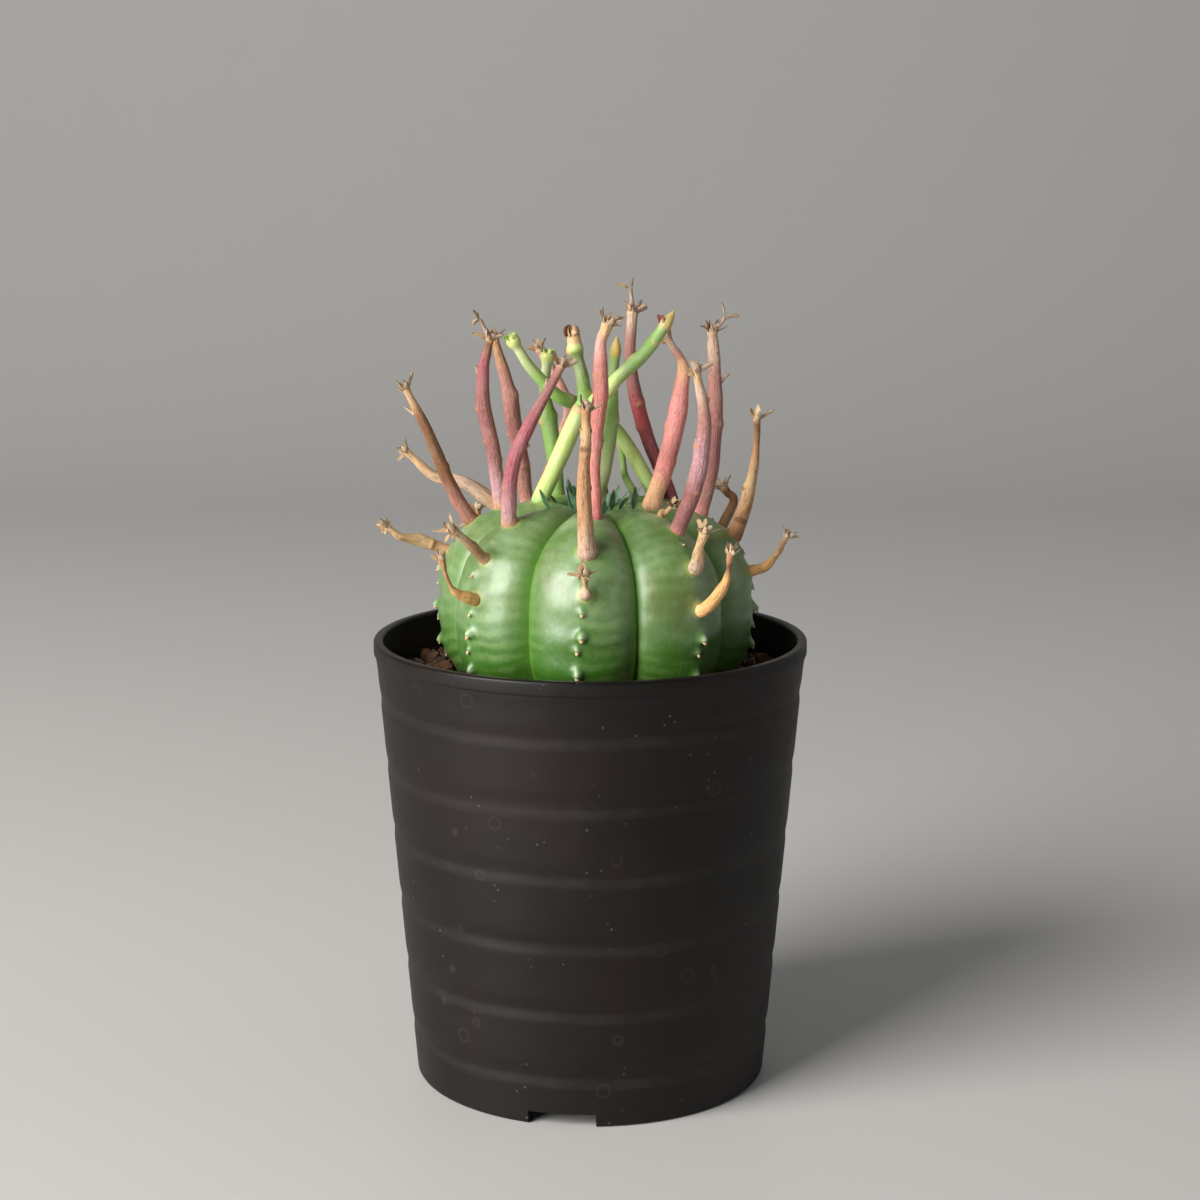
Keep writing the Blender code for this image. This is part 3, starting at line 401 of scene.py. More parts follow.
# How a stalk ends: rings of (advance in millimetres, share of the tip's radius, strength of the painted
# shade laid in the hollow).
CUPS = {
    "plain": ((0.5, 0.95, 0), (1.0, 0.75, 0), (1.3, 0.4, 0)),
    "star": ((0.5, 1.08, 0), (1.0, 1.12, 0), (1.5, 0.95, 0.1), (1.8, 0.6, 0.4), (1.9, 0.3, 0.7)),
    "cup": ((0.5, 1.05, 0), (1.0, 1.2, 0), (1.5, 1.25, 0), (1.6, 1.0, 0.8), (1.2, 0.75, 1), (0.7, 0.4, 1)),
    "husk": ((0.6, 1.0, 0), (1.3, 0.95, 0.4), (1.6, 0.7, 0.9), (1.5, 0.3, 1)),
    "bud": (
        (0.6, 1.0, 0), (1.1, 1.1, 0), (1.8, 1.12, 0), (2.6, 1.0, 0), (3.4, 0.75, 0), (4.2, 0.42, 0),
        (4.9, 0.14, 0),
    ),
    "flower": ((0.5, 1.15, 0), (1.0, 1.4, 0), (1.7, 1.5, 0), (2.4, 1.35, 0), (2.8, 0.9, 0), (2.9, 0.4, 0)),
}
# The tone that a stalk's head takes on over its first three rings
HEAD_TONES = {
    "plain": "leaf", "star": "straw", "cup": "tan", "husk": "gold", "bud": "budding", "flower": "fringe",
}

# Where each crown leaf stands: (rib, degrees down from the crown)
LEAVES = tuple((rib, 3.5) for rib in (0, 1, 2, 3, 4.4, 5, 6, 7)) + (
    (0, 12), (1, 13), (2, 6.5), (4, 17), (5, 6.5), (7, 14),
)


def srgb(red, green, blue):
    """Linear colour of an sRGB one given from 0 to 255."""
    shares = np.array((red, green, blue)) / 255
    linear = np.where(shares <= 0.04045, shares / 12.92, ((shares + 0.055) / 1.055) ** 2.4)
    return tuple(linear.tolist())


def colour(name, red, green, blue):
    """A colour property whose default is the sRGB colour given from 0 to 255."""
    return FloatVectorProperty(
        name=name, description=f"Colour: {name.lower()}", default=srgb(red, green, blue),
        min=0, max=1, size=3, subtype="COLOR",
    )


def length(name, description, default):
    return FloatProperty(
        name=name, description=description, default=default, min=0, subtype="DISTANCE", unit="LENGTH",
    )


def power(name, description, default):
    return FloatProperty(name=name, description=description, default=default, min=0, unit="POWER")


class PotSettings(bpy.types.PropertyGroup):
    """Sizes and colours of the pot"""
    rim_radius: length("Rim radius", "Outer radius of the lip", (POT_HIGH.x - POT_LOW.x) / 2)
    height: length("Height", "From the foot to the top of the lip", POT_HIGH.z - POT_LOW.z)
    groove_depth: length("Groove depth", "Depth of the ring grooves", 0.24 * MM)
    groove_width: length("Groove width", "Width of a ring groove", 5.0 * MM)
    warm: colour("Warm black", 25, 16, 13)
    cool: colour("Cool black", 17, 14, 13)
    # Pale grey of the specks and rings, and of the painted highlight along the grooves
    dust: colour("Dust", 120, 116, 108)


class SoilSettings(bpy.types.PropertyGroup):
    """Grains and colours of the soil"""
    grain: length("Grain", "Middle radius of a grain of grit", 1.25 * MM)
    grains: IntProperty(name="Grains", description="Number of loose grains", default=1000, min=0, max=2000)
    brown: colour("Brown grit", 88, 63, 44)
    red: colour("Red grit", 110, 74, 50)
    pale: colour("Pale grit", 156, 132, 104)
    dark: colour("Dark grit", 40, 31, 25)
    peat: colour("Peat", 44, 32, 25)


class StemSettings(bpy.types.PropertyGroup):
    """Sizes and colours of the ribbed stem and its leaves"""
    radius: length("Radius", "Radius over the ribs at the widest place", 32.6 * MM)
    rib_depth: length("Rib depth", "Depth of the furrows between ribs", 5.0 * MM)
    tooth: length("Tooth height", "Height of a large tooth on a ridge", 1.4 * MM)
    # The lower stem's own vivid green, darkened as painted shade for the shade low in the pot
    low: colour("Low skin", 56, 110, 18)
    high: colour("High skin", 94, 130, 62)
    olive: colour("Olive blotches", 98, 104, 50)
    band: colour("Pale band", 178, 204, 130)
    bloom: colour("Waxy bloom", 182, 204, 164)
    furrow: colour("Furrow", 96, 146, 50)
    collar: colour("Collar round a stalk", 168, 182, 92)
    horn: colour("Whitish tooth", 170, 196, 146)
    scar: colour("Tooth scar", 240, 190, 154)
    leaf: colour("Leaf", 66, 108, 74)
    leaf_edge: colour("Leaf edge", 128, 164, 132)


class StalkSettings(bpy.types.PropertyGroup):
    """Girth and colours of the flower stalks"""
    girth: FloatProperty(
        name="Girth", description="Share of each stalk's full girth", default=1.0, min=0.1, max=1.5,
    )
    lime: colour("Lime", 198, 222, 130)
    leaf: colour("Leaf green", 140, 180, 92)
    moss: colour("Moss green", 112, 142, 66)
    pale: colour("Pale green", 198, 210, 152)
    fringe: colour("Fringe", 206, 218, 130)
    budding: colour("Bud", 226, 178, 98)
    rose: colour("Rose", 224, 162, 150)
    pink: colour("Pink", 214, 132, 120)
    coral: colour("Coral", 238, 150, 142)
    apricot: colour("Apricot", 255, 198, 148)
    crimson: colour("Crimson", 190, 84, 86)
    wine: colour("Wine", 150, 70, 76)
    plum: colour("Plum", 158, 100, 96)
    rosewood: colour("Rosewood", 172, 96, 104)
    mauve: colour("Mauve", 178, 124, 112)
    lilac: colour("Lilac", 196, 146, 152)
    cream: colour("Cream", 232, 206, 172)
    straw: colour("Straw", 218, 180, 132)
    tan: colour("Tan", 194, 146, 104)
    gold: colour("Gold", 232, 180, 114)
    ash: colour("Ash", 210, 178, 154)
    bark: colour("Bark", 140, 96, 64)
    # Near-black brown painted into the hollows of the heads as shade
    painted_hollow_shade: colour("Hollow", 52, 32, 22)


class StageSettings(bpy.types.PropertyGroup):
    """The floor, the lights and the camera"""
    floor: colour("Floor", 214, 212, 208)
    key: power("Key light", "Power of the window light", 26.0)
    fill: power("Fill light", "Power of the fill light", 1.0)
    sky: FloatProperty(name="Sky", description="Strength of the light from all round", default=0.13, min=0)
    camera_back: length("Camera distance", "How far in front of the pot the camera stands", 504.9 * MM)
    camera_up: length("Camera height", "Height of the camera over the floor", 196.6 * MM)
    camera_drop: FloatProperty(
        name="Camera tilt", description="How far the camera looks down", default=math.radians(10.742),
        subtype="ANGLE", unit="ROTATION",
    )


# Surfaces


class Shell:
    """Points, faces and what each point carries, of one closed surface or of several together."""

    def __init__(self, points, faces, traits):
        self.points, self.faces, self.traits = points, faces, traits

    @classmethod
    def of_grid(cls, rows, traits):
        """Closes a grid of points whose rows are rings: quads between rings, and a fan to a pole at each
        end."""
        count, around = rows.shape[:2]
        here = np.arange(around)
        there = (here + 1) % around
        step = np.arange(count - 1)[:, None] * around
        quads = np.stack([step + here, step + there, step + around + there, step + around + here], -1)
        first, last = count * around, (count - 1) * around
        fans = np.concatenate([
            np.stack([np.full(around, first), there, here], -1),
            np.stack([np.full(around, first + 1), last + here, last + there], -1),
        ])
        points = np.concatenate([rows.reshape(-1, 3), rows[:1].mean(1), rows[-1:].mean(1)])
        kept = {}
        for name, values in traits.items():
            width = (3,) if np.ndim(values) == 3 else ()
            values = np.broadcast_to(values, (count, around, *width))
            ends = [values[:1].mean(1), values[-1:].mean(1)]
            kept[name] = np.concatenate([values.reshape(-1, *width), *ends])
        made = cls(points, [quads.reshape(-1, 4), fans], kept)
        return made if made.volume() > 0 else made.turned()

    def volume(self):
        """Six times the volume inside: the sum over triangles of a . (b x c)."""
        total = 0.0
        for faces in self.faces:
            for second in range(1, faces.shape[1] - 1):
                a, b, c = (self.points[faces[:, corner]] for corner in (0, second, second + 1))
                total += np.einsum("ij,ij", a, np.cross(b, c))
        return total

    def turned(self):
        return Shell(self.points, [faces[:, ::-1] for faces in self.faces], self.traits)

    @classmethod
    def joined(cls, shells):
        """Several shells as one, each trait that some of them lack filled with noughts."""
        starts = np.cumsum([0] + [len(shell.points) for shell in shells])
        faces = [f + start for shell, start in zip(shells, starts) for f in shell.faces]
        traits = {}
        for name in {name for shell in shells for name in shell.traits}:
            like = next(shell.traits[name] for shell in shells if name in shell.traits)
            traits[name] = np.concatenate([
                shell.traits.get(name, np.zeros((len(shell.points), *like.shape[1:]))) for shell in shells
            ])
        return cls(np.concatenate([shell.points for shell in shells]), faces, traits)


def add_piece(name, shell, material, slot, replaces=None, crease=50):
    """Makes the mesh, its attributes and its object, and ties it to the frame."""
    mesh = bpy.data.meshes.new(name)
    mesh.from_pydata(shell.points.tolist(), [], [face for faces in shell.faces for face in faces.tolist()])
    for trait, values in shell.traits.items():
        if trait == "tone":
            kept = mesh.attributes.new(trait, "FLOAT_COLOR", "POINT")
            kept.data.foreach_set("color", np.column_stack([values, np.ones(len(values))]).ravel())
        elif values.ndim == 2:
            kept = mesh.attributes.new(trait, "FLOAT_VECTOR", "POINT")
            kept.data.foreach_set("vector", values.ravel())
        else:
            kept = mesh.attributes.new(trait, "FLOAT", "POINT")
            kept.data.foreach_set("value", values)
    mesh.shade_smooth()
    mesh.set_sharp_from_angle(angle=math.radians(crease))
    mesh.materials.append(material)
    piece = bpy.data.objects.new(name, mesh)
    bpy.context.scene.collection.objects.link(piece)
    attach(piece, BODY)
    if replaces:
        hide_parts(replaces)
    return piece


def round_angles(count):
    """Even angles round a ring."""
    return np.arange(count) * math.tau / count


def compass(turn):
    """The level directions outwards and sideways, `turn` radians to the right of the front."""
    outward = np.array((math.sin(turn), -math.cos(turn), 0.0))
    return outward, np.array((math.cos(turn), math.sin(turn), 0.0))


def grain_of(angle, metres):
    """What a streaked skin follows: the direction round a stalk and the distance along it."""
    return np.stack(np.broadcast_arrays(np.cos(angle), np.sin(angle), metres), -1)


def unit(vectors):
    return vectors / np.linalg.norm(vectors, axis=-1, keepdims=True)


def smooth(share):
    """Eases from 0 to 1: 3 s^2 - 2 s^3."""
    share = np.clip(share, 0, 1)
    return share * share * (3 - 2 * share)


def eased(along, stops):
    """Values at shares of a length, eased between the stops (share, value)."""
    places, values = np.array([stop[0] for stop in stops]), np.array([stop[1] for stop in stops], float)
    after = np.clip(np.searchsorted(places, along, side="right"), 1, len(places) - 1)
    low, high = places[after - 1], places[after]
    share = smooth((along - low) / (high - low))
    if values.ndim > 1:
        share = share[..., None]
    return values[after - 1] * (1 - share) + values[after] * share


def smooth_route(knots, count):
    """Evenly spaced points of a Catmull-Rom curve through the knots: in each span a cubic of the four
    knots round it, sampled finely and then spaced out again by its length."""
    knots = np.asarray(knots)
    padded = np.vstack([2 * knots[0] - knots[1], knots, 2 * knots[-1] - knots[-2]])
    a, b, c, d = (padded[i:len(padded) - 3 + i, None] for i in range(4))
    share = np.linspace(0, 1, 25)[None, :, None]
    spans = 0.5 * (
        2 * b + (c - a) * share + (2 * a - 5 * b + 4 * c - d) * share**2 + (3 * b - 3 * c + d - a) * share**3
    )
    dense = spans.reshape(-1, 3)
    arc = np.concatenate([[0], np.cumsum(np.linalg.norm(np.diff(dense, axis=0), axis=1))])
    wanted = np.linspace(0, arc[-1], count)
    return np.column_stack([np.interp(wanted, arc, dense[:, axis]) for axis in range(3)]), arc[-1]


def carried(path, tangents, aside, section):
    """A section carried along a path: point = path + x aside + y across, where aside is one fixed
    direction made square to the path and across is square to both."""
    aside = unit(aside - tangents * (tangents @ aside)[:, None])
    across = np.cross(tangents, aside)
    return path[:, None] + section[..., :1] * aside[:, None] + section[..., 1:] * across[:, None]


# Stem


def stem_outline(down, radius_at_widest):
    """Radius and height of the smooth stem, `down` radians from the crown: two half superellipses with a
    dip of a bell's shape in the crown."""
    cosine = np.cos(down)
    above = cosine > 0
    power = 2 / np.where(above, SHOULDER_FULLNESS, FOOT_FULLNESS)
    half_height = np.where(above, STEM_ABOVE_WIDEST, STEM_BELOW_WIDEST)
    radius = radius_at_widest * np.abs(np.sin(down)) ** power
    height = STEM_WIDEST_Z + np.sign(cosine) * half_height * np.abs(cosine) ** power
    dip = CROWN_DIP * np.exp(-((radius / CROWN_DIP_RADIUS) ** 2))
    return radius, np.where(above, height - dip, height)


def outline_normal(down, radius_at_widest):
    """Outward direction (out, up) of the stem's outline, square to its direction between two near
    points."""
    step = 1e-3
    before = stem_outline(np.maximum(down - step, 1e-6), radius_at_widest)
    after = stem_outline(down + step, radius_at_widest)
    out, up = before[1] - after[1], after[0] - before[0]
    size = np.hypot(out, up)
    return out / size, up / size


def aside_of(turn):
    """How far a direction is from the nearest ridge, from -1 in one furrow over 0 to 1 in the next."""
    half_rib = math.pi / RIB_COUNT
    return ((turn - RIB_TURN + half_rib) % (2 * half_rib) - half_rib) / half_rib


def stem_surface(down, turn, rise, settings):
    """Points of the ribbed stem, `turn` radians to the right of the front and `rise` above the skin: the
    outline is drawn in by the rib's depth times a round back with a slight keel."""
    radius, height = stem_outline(down, settings.radius)
    out, up = outline_normal(down, settings.radius)
    aside = np.abs(aside_of(turn))
    soft = np.sqrt(aside**2 + 0.05**2) - 0.05
    groove = RIB_KEEL * soft + (1 - RIB_KEEL) * 1.15 * (1 - np.sqrt(1 - (0.975 * aside) ** 2))
    sink = settings.rib_depth * (radius / settings.radius) ** 0.7 * groove - rise
    radius, height = radius - out * sink, height - up * sink
    return np.stack([STEM_OFFSET + radius * np.sin(turn), -radius * np.cos(turn), height + 0 * turn], -1)


def rib_direction(rib, turn=0.0):
    return RIB_TURN + rib * math.tau / RIB_COUNT + turn


def arc_table(settings):
    """Distances along the stem's outline from the crown, and the angles down that they belong to."""
    downs = np.linspace(1e-3, math.pi - 0.05, 3000)
    radius, height = stem_outline(downs, settings.radius)
    return np.concatenate([[0], np.cumsum(np.hypot(np.diff(radius), np.diff(height)))]), downs


def stalk_frame(stalk, settings):
    """Where a stalk starts, the stem's outward direction there, and its outward and sideways
    directions."""
    down, turn = math.radians(stalk.down), rib_direction(stalk.rib, math.radians(stalk.turn))
    base = stem_surface(np.array(down), np.array(turn), 0.0, settings)
    out, up = outline_normal(np.array(down), settings.radius)
    outward, sideways = compass(turn)
    return base, outward * float(out) + np.array((0, 0, float(up))), outward, sideways


def tooth_places(settings):
    """Each tooth as (distance along the outline, direction, size): large and small in turn down each
    ridge, every other rib half a pitch lower, swaying to one side and the other, and none near a stalk."""
    arcs, downs = arc_table(settings)
    start = np.interp(TOOTH_FIRST, downs, arcs)
    places = []
    for rib in range(RIB_COUNT):
        for number in range(TEETH_PER_RIB):
            drift = 0.3 * MM * math.sin(5 * rib + 3 * number)
            arc = start + TOOTH_PITCH * (number + 0.5 * (rib % 2)) + drift
            down = np.interp(arc, arcs, downs)
            large = number % 2 == 1
            arc -= 0 if large else SMALL_TOOTH_LIFT
            sway = (TOOTH_SWAY if number % 4 < 2 else -TOOTH_SWAY) / settings.radius
            point = stem_surface(np.array(down), np.array(rib_direction(rib)), 0.0, settings)
            near = any(
                np.linalg.norm(stalk_frame(stalk, settings)[0] - point) < (stalk.girth[0][1] + 2.0) * MM
                for stalk in STALKS if stalk.rib == rib
            )
            if point[2] > SOIL_LEVEL + 1 * MM and not near:
                old = smooth((down - TOOTH_FIRST) / math.radians(30))
                size = (1.0 if large else SMALL_TOOTH) * (0.35 + 0.65 * old)
                places.append((arc, rib_direction(rib) + sway, size))
    return places


def stem_shell(settings):
    """The stem's skin on rows of equal distance down the outline and columns set closer on the ridges and
    in the furrows. What rises from it is a sum of bells: a long one for each tooth, steep on its lower
    side, and a low wide one round each stalk, and over all a slight swell along the ribs."""
    arcs, downs = arc_table(settings)
    radius, height = stem_outline(downs, settings.radius)
    soil_arc = arcs[np.argmax((downs > math.pi / 2) & (height < SOIL_LEVEL - 1.5 * MM))]
    sunk = np.linspace(soil_arc, arcs[-1], SUNK_ROWS)[1:]
    row_arcs = np.concatenate([np.linspace(0.6 * MM, soil_arc, STEM_ROWS), sunk])
    share = np.linspace(0, 1, RIB_STEPS)[1:]
    half = 0.5 * share**1.6 * (1.6 - 0.6 * share) + 0.5 * smooth(share) * share
    half = half / half[-1]
    columns = np.concatenate([-half[::-1][1:], [0], half])  # one furrow over the ridge to the next
    turns = (rib_direction(np.arange(RIB_COUNT))[:, None] + columns * math.pi / RIB_COUNT).ravel()
    arc, turn = np.meshgrid(row_arcs, turns, indexing="ij")
    down = np.interp(arc, arcs, downs)
    ring = np.interp(arc, arcs, radius)

    rise, tooth, collar = np.zeros_like(arc), np.zeros_like(arc), np.zeros_like(arc)
    for place, direction, size in tooth_places(settings):
        beside = ring * ((turn - direction + math.pi) % math.tau - math.pi)
        below = arc - place
        reach = np.where(below > 0, 0.7, 1.3) * MM * (0.6 + 0.4 * size)
        bell = np.exp(-((below / reach) ** 2) - (beside / (TOOTH_WIDTH * (0.6 + 0.4 * size))) ** 2)
        rise += settings.tooth * size * bell
        tooth = np.maximum(tooth, bell * min(1, size + 0.25))
    skin = stem_surface(down, turn, 0.0, settings)
    for stalk in STALKS:
        base = stalk_frame(stalk, settings)[0]
        thick = stalk.girth[0][1] * MM
        bell = np.exp(-(np.linalg.norm(skin - base, axis=-1) / (thick + COLLAR_WIDTH)) ** 4)
        rise += COLLAR_RISE * bell
        collar = np.maximum(collar, bell)
    aside = np.abs(aside_of(turn))
    low = smooth((down - math.radians(50)) / math.radians(25))
    rise += SWELL * np.sin(math.tau * (arc / (2 * TOOTH_PITCH) + 0.25 * aside)) * (1 - aside**2) * low
    rise += RIPPLE * np.sin(9 * turn + 600 * arc) * np.sin(420 * arc - 4 * turn)
    points = stem_surface(down, turn, rise, settings)
    return Shell.of_grid(points, {"aside": aside, "arc": arc, "tooth": tooth, "collar": collar})


def tip_shells(settings):
    """The small horny tip of each tooth: a cone of rings that pushes out and a little down from the
    skin."""
    arcs, downs = arc_table(settings)
    shells = []
    for arc, direction, size in tooth_places(settings):
        down, turn = np.array(np.interp(arc + 0.35 * MM, arcs, downs)), np.array(direction)
        out, up = (float(part) for part in outline_normal(down, settings.radius))
        outward, sideways = compass(turn)
        normal = outward * out + np.array((0, 0, up))
        downward = np.cross(sideways, normal)
        downward *= -np.sign(downward[2])
        foot = stem_surface(down, turn, settings.tooth * size * 0.55, settings)
        share = np.linspace(0, 1, 6)
        push = normal * share[:, None] * 0.55 + downward * share[:, None] ** 2 * 0.45
        path = foot + push * MM * (0.5 + 0.5 * size)
        radii = (0.16 + 0.34 * np.sqrt(1 - share**2)) * MM * (0.55 + 0.45 * size)
        angle = round_angles(8)
        section = radii[:, None, None] * np.stack([np.cos(angle), 0.8 * np.sin(angle)], -1)
        points = carried(path, np.tile(normal, (6, 1)), sideways, section)
        shells.append(Shell.of_grid(points, {"share": np.repeat(share[:, None], 8, 1)}))
    return shells


# Bracts and stalks


def bract(root, start, side, bend, size, width, tones, twist):
    """A thin ragged bract: its middle line leaves the root along `start` and turns by `bend` towards
    `side`, more near the end. Its half width swells, keeps and then narrows to nought, and its section, a
    flat oval folded along the middle, twists by `twist` about that line."""
    share = np.linspace(0, 1, BRACT_ROWS)
    turned = (bend * share**1.4)[:, None]
    along = start * np.cos(turned) + side * np.sin(turned)
    face = side * np.cos(turned) - start * np.sin(turned)
    path = root + np.cumsum(along, axis=0) * size / len(share)
    turn = (twist * (0.5 + 0.5 * share))[:, None]
    across = np.cross(start, side)
    broad, thin = across * np.cos(turn) + face * np.sin(turn), face * np.cos(turn) - across * np.sin(turn)
    half = width / 2 * (0.5 + 0.5 * smooth(share / 0.3)) * np.sqrt(np.clip(1.02 - share**2.2, 0, 1))
    half *= 1 + 0.14 * np.sin(11 * share + 5 * twist)
    angle = round_angles(BRACT_SIDES)
    across = half[:, None] * np.cos(angle)
    out = BRACT_THICKNESS / 2 * (1.1 - 0.8 * share[:, None]) * np.sin(angle) - 0.45 * np.abs(across)
    points = path[:, None] + across[..., None] * broad[:, None] + out[..., None] * thin[:, None]
    inner, outer = (np.array(tone) for tone in tones)
    facing = (0.5 - 0.5 * np.sin(angle))[None, :, None]
    tone = inner * facing + outer * (1 - facing) + 0 * share[:, None, None]
    tone = tone * (1 - 0.3 * share[:, None, None] ** 4) * (0.82 + 0.18 * smooth(share / 0.35)[:, None, None])
    grain = grain_of(angle, share[:, None] * size)
    return Shell.of_grid(points, {"tone": tone, "grain": grain, "dry": np.full_like(across, 0.35)})


def leaning(axis, side, lean):
    """A direction `lean` degrees off the axis towards the compass direction `side`, and the one square to
    it."""
    level = np.array((math.cos(math.radians(side)), math.sin(math.radians(side)), 0.0))
    outward = unit(level - axis * (axis @ level) + 1e-9)
    lean = math.radians(lean)
    return axis * math.cos(lean) + outward * math.sin(lean), outward * math.cos(lean) - axis * math.sin(lean)


def bract_of(blade, root, axis, rim, tones):
    """A head's bract, rooted on the rim of the cup at its side."""
    start, side = leaning(axis, blade.side, blade.lean)
    outward = leaning(axis, blade.side, 90)[0]
    twist = 0.75 + 0.6 * math.sin(0.11 * blade.side + blade.lean)
    size, width = blade.length * 1.1 * MM, blade.width * 1.35 * MM
    return bract(root + outward * rim, start, side, math.radians(blade.curl), size, width, tones, twist)


def crumbs(phase):
    """Short ragged bracts all round a dry head, whose lean, curl and length swing with sines of their
    number."""
    return [
        Blade(
            45 * number + 40 * phase, 20 + 18 * math.sin(2.3 * number + phase),
            55 * math.sin(3.1 * number + phase), 1.9 + 0.7 * math.sin(4.7 * number + phase), 0.8,
        )
        for number in range(CRUMBS)
    ]


def twig_shells(twig, root, axis, radius, tones):
    """A thin side branch that narrows and curls, with bracts on its end."""
    start, side = leaning(axis, twig.side, twig.lean)
    share = np.linspace(0, 1, BRACT_ROWS)
    turned = (math.radians(twig.curl) * share)[:, None]
    along = start * np.cos(turned) + side * np.sin(turned)
    outward = leaning(axis, twig.side, 90)[0]
    foot = root + (outward * radius * 0.7 if twig.along < 1 else 0)
    path = foot + np.cumsum(along, axis=0) * twig.length * MM / len(share)
    radii = twig.thick * MM * eased(share, ((0, 1.5), (0.25, 0.95), (0.8, 0.75), (1, 0.9)))
    angle = round_angles(BRACT_SIDES)
    section = radii[:, None, None] * np.stack([np.cos(angle), np.sin(angle)], -1)
    points = carried(path, along, np.cross(start, side), section)
    shade = np.array(tones[1])[None, None] * (1.05 - 0.25 * share[:, None, None])
    grain = grain_of(angle, share[:, None] * twig.length * MM)
    tone = np.broadcast_to(shade, points.shape)
    shells = [Shell.of_grid(points, {"tone": tone, "grain": grain, "dry": np.full(points.shape[:2], 0.5)})]
    for blade in twig.blades:
        shells.append(bract_of(blade, path[-1], along[-1], radii[-1] * 0.5, tones))
    return shells


def stalk_shells(stalk, base, normal, place, palette, phase):
    """A stalk with its head. Its section is a circle with shallow lengthwise ribs, deeper where it is dry,
    its radius follows the girth with a swelling at each scar, and the rings of its cup carry it on and
    turn in to a hollow."""
    cup, rooted = CUPS[stalk.cup], stalk not in FORK_RAYS
    girth = [(share, radius * palette.girth) for share, radius in stalk.girth]
    knots = [base - normal * 0.6 * MM, base + normal * 1.2 * MM] if rooted else [base]
    knots += [place(*point) for point in stalk.route[0 if rooted else 1:]]
    count = len(knots) * ROWS_PER_KNOT
    path, size = smooth_route(knots, count)
    along = np.linspace(0, 1, count)
    tangents = unit(np.gradient(path, axis=0))
    axis = tangents[-1]
    tip = girth[-1][1] * MM
    radii = eased(along, girth) * MM
    if rooted:
        radii *= 1 + 0.1 * np.exp(-(((along * size - 0.9 * MM) / (0.7 * MM)) ** 2))
    rings = np.array(cup)
    path = np.vstack([path, path[-1] + axis * rings[:, :1] * MM])
    tangents = np.vstack([tangents, np.tile(axis, (len(cup), 1))])
    radii = np.concatenate([radii, tip * rings[:, 1]])
    hollow = np.concatenate([np.zeros(count), rings[:, 2]])
    metres = np.concatenate([along * size, size + rings[:, 0] * MM])[:, None]
    body = np.concatenate([along, np.ones(len(cup))])

    angle = round_angles(STALK_SIDES)
    dry = stalk.dry + (1 - stalk.dry) * smooth((body - 0.82) / 0.18) * (stalk.slot != "green_stalk")
    ribs = np.cos(7 * angle + 1.3 * np.sin(metres * 230 + phase)) * 0.6
    ribs = ribs + np.cos(11 * angle + metres * 160) * 0.4
    wander = np.sin(metres * 520 + phase + 2 * np.sin(angle)) + np.sin(metres * 910 + 2 * phase + angle)
    shape = 1 + (0.012 + 0.035 * dry[:, None]) * ribs + (0.012 + 0.014 * dry[:, None]) * wander
    aside = np.cross(normal, (0, 0, 1.0)) + 1e-6
    aside = unit(np.where(np.linalg.norm(aside) < 0.05, np.array((1.0, 0, 0)), aside))
    flat = unit(aside - tangents * (tangents @ aside)[:, None])
    across = np.cross(tangents, flat)
    outward = np.cos(angle)[None, :, None] * flat[:, None] + np.sin(angle)[None, :, None] * across[:, None]
    scar = np.zeros(shape.shape)
    for mark in stalk.scars:
        way = np.array((math.cos(math.radians(mark.side)), math.sin(math.radians(mark.side)), 0.35))
        facing = outward @ unit(way)
        near = np.exp(-(((metres - mark.along * size) / (mark.size * 0.9 * MM)) ** 2))
        bell = near * smooth((facing - 0.1) / 0.9)
        shape += bell * 0.3 * mark.size * MM / radii[:, None]
        scar = np.maximum(scar, smooth((bell - 0.45) / 0.4) * (body[:, None] < 1))
    section = (radii[:, None] * shape)[..., None] * np.stack([np.cos(angle), np.sin(angle)], -1)
    points = carried(path, tangents, aside, section)

    tones = eased(body, [(share, srgb_of(palette, name)) for share, name in stalk.tones])
    head = np.array(srgb_of(palette, HEAD_TONES[stalk.cup]))
    headed = smooth(np.concatenate([np.zeros(count), np.arange(1, len(cup) + 1) / 3]))[:, None]
    tones = tones * (1 - headed) + head * headed
    # Painted shade: the end rings are darkened towards near-black brown, as their third value says.
    painted_hollow_shade = np.array(srgb_of(palette, "painted_hollow_shade"))
    tones = tones * (1 - hollow[:, None]) + painted_hollow_shade * hollow[:, None]
    tone = np.broadcast_to(tones[:, None], points.shape)
    if stalk.cup == "bud":
        green = np.array(srgb_of(palette, "leaf"))
        seam = (0.5 + 0.5 * np.cos(3 * angle + phase))[None, :, None] * headed[:, None] ** 2
        tone = tone * (1 - 0.6 * seam) + green * 0.6 * seam
    dryness = np.broadcast_to(dry[:, None], shape.shape)
    traits = {"tone": tone, "grain": grain_of(angle, metres), "dry": dryness, "scar": scar}
    shells = [Shell.of_grid(points, traits)]

    end, rim = path[count - 1], tip
    inner, outer = {"husk": ("bark", "straw"), "bud": ("wine", "plum")}.get(stalk.cup, ("straw", "cream"))
    if stalk.slot in ("mauve_stalk", "pink_stalk", "crimson_stalk"):
        outer = "ash"
    pair = (srgb_of(palette, inner), srgb_of(palette, outer))
    ragged = crumbs(phase) if stalk.cup in ("star", "cup") else ()
    for blade in (*stalk.blades, *ragged):
        shells.append(bract_of(blade, end + axis * 0.9 * MM, axis, rim * 0.8, pair))
    for twig in stalk.twigs:
        row = min(round(twig.along * (count - 1)), count - 1)
        root = path[row] + (axis * 1.0 * MM if twig.along == 1 else 0)
        shells += twig_shells(twig, root, tangents[row], radii[row], pair)
    if stalk.cup == "flower":
        shells += fringe_shells(end + axis * 2.2 * MM, axis, tip, palette)
    return shells


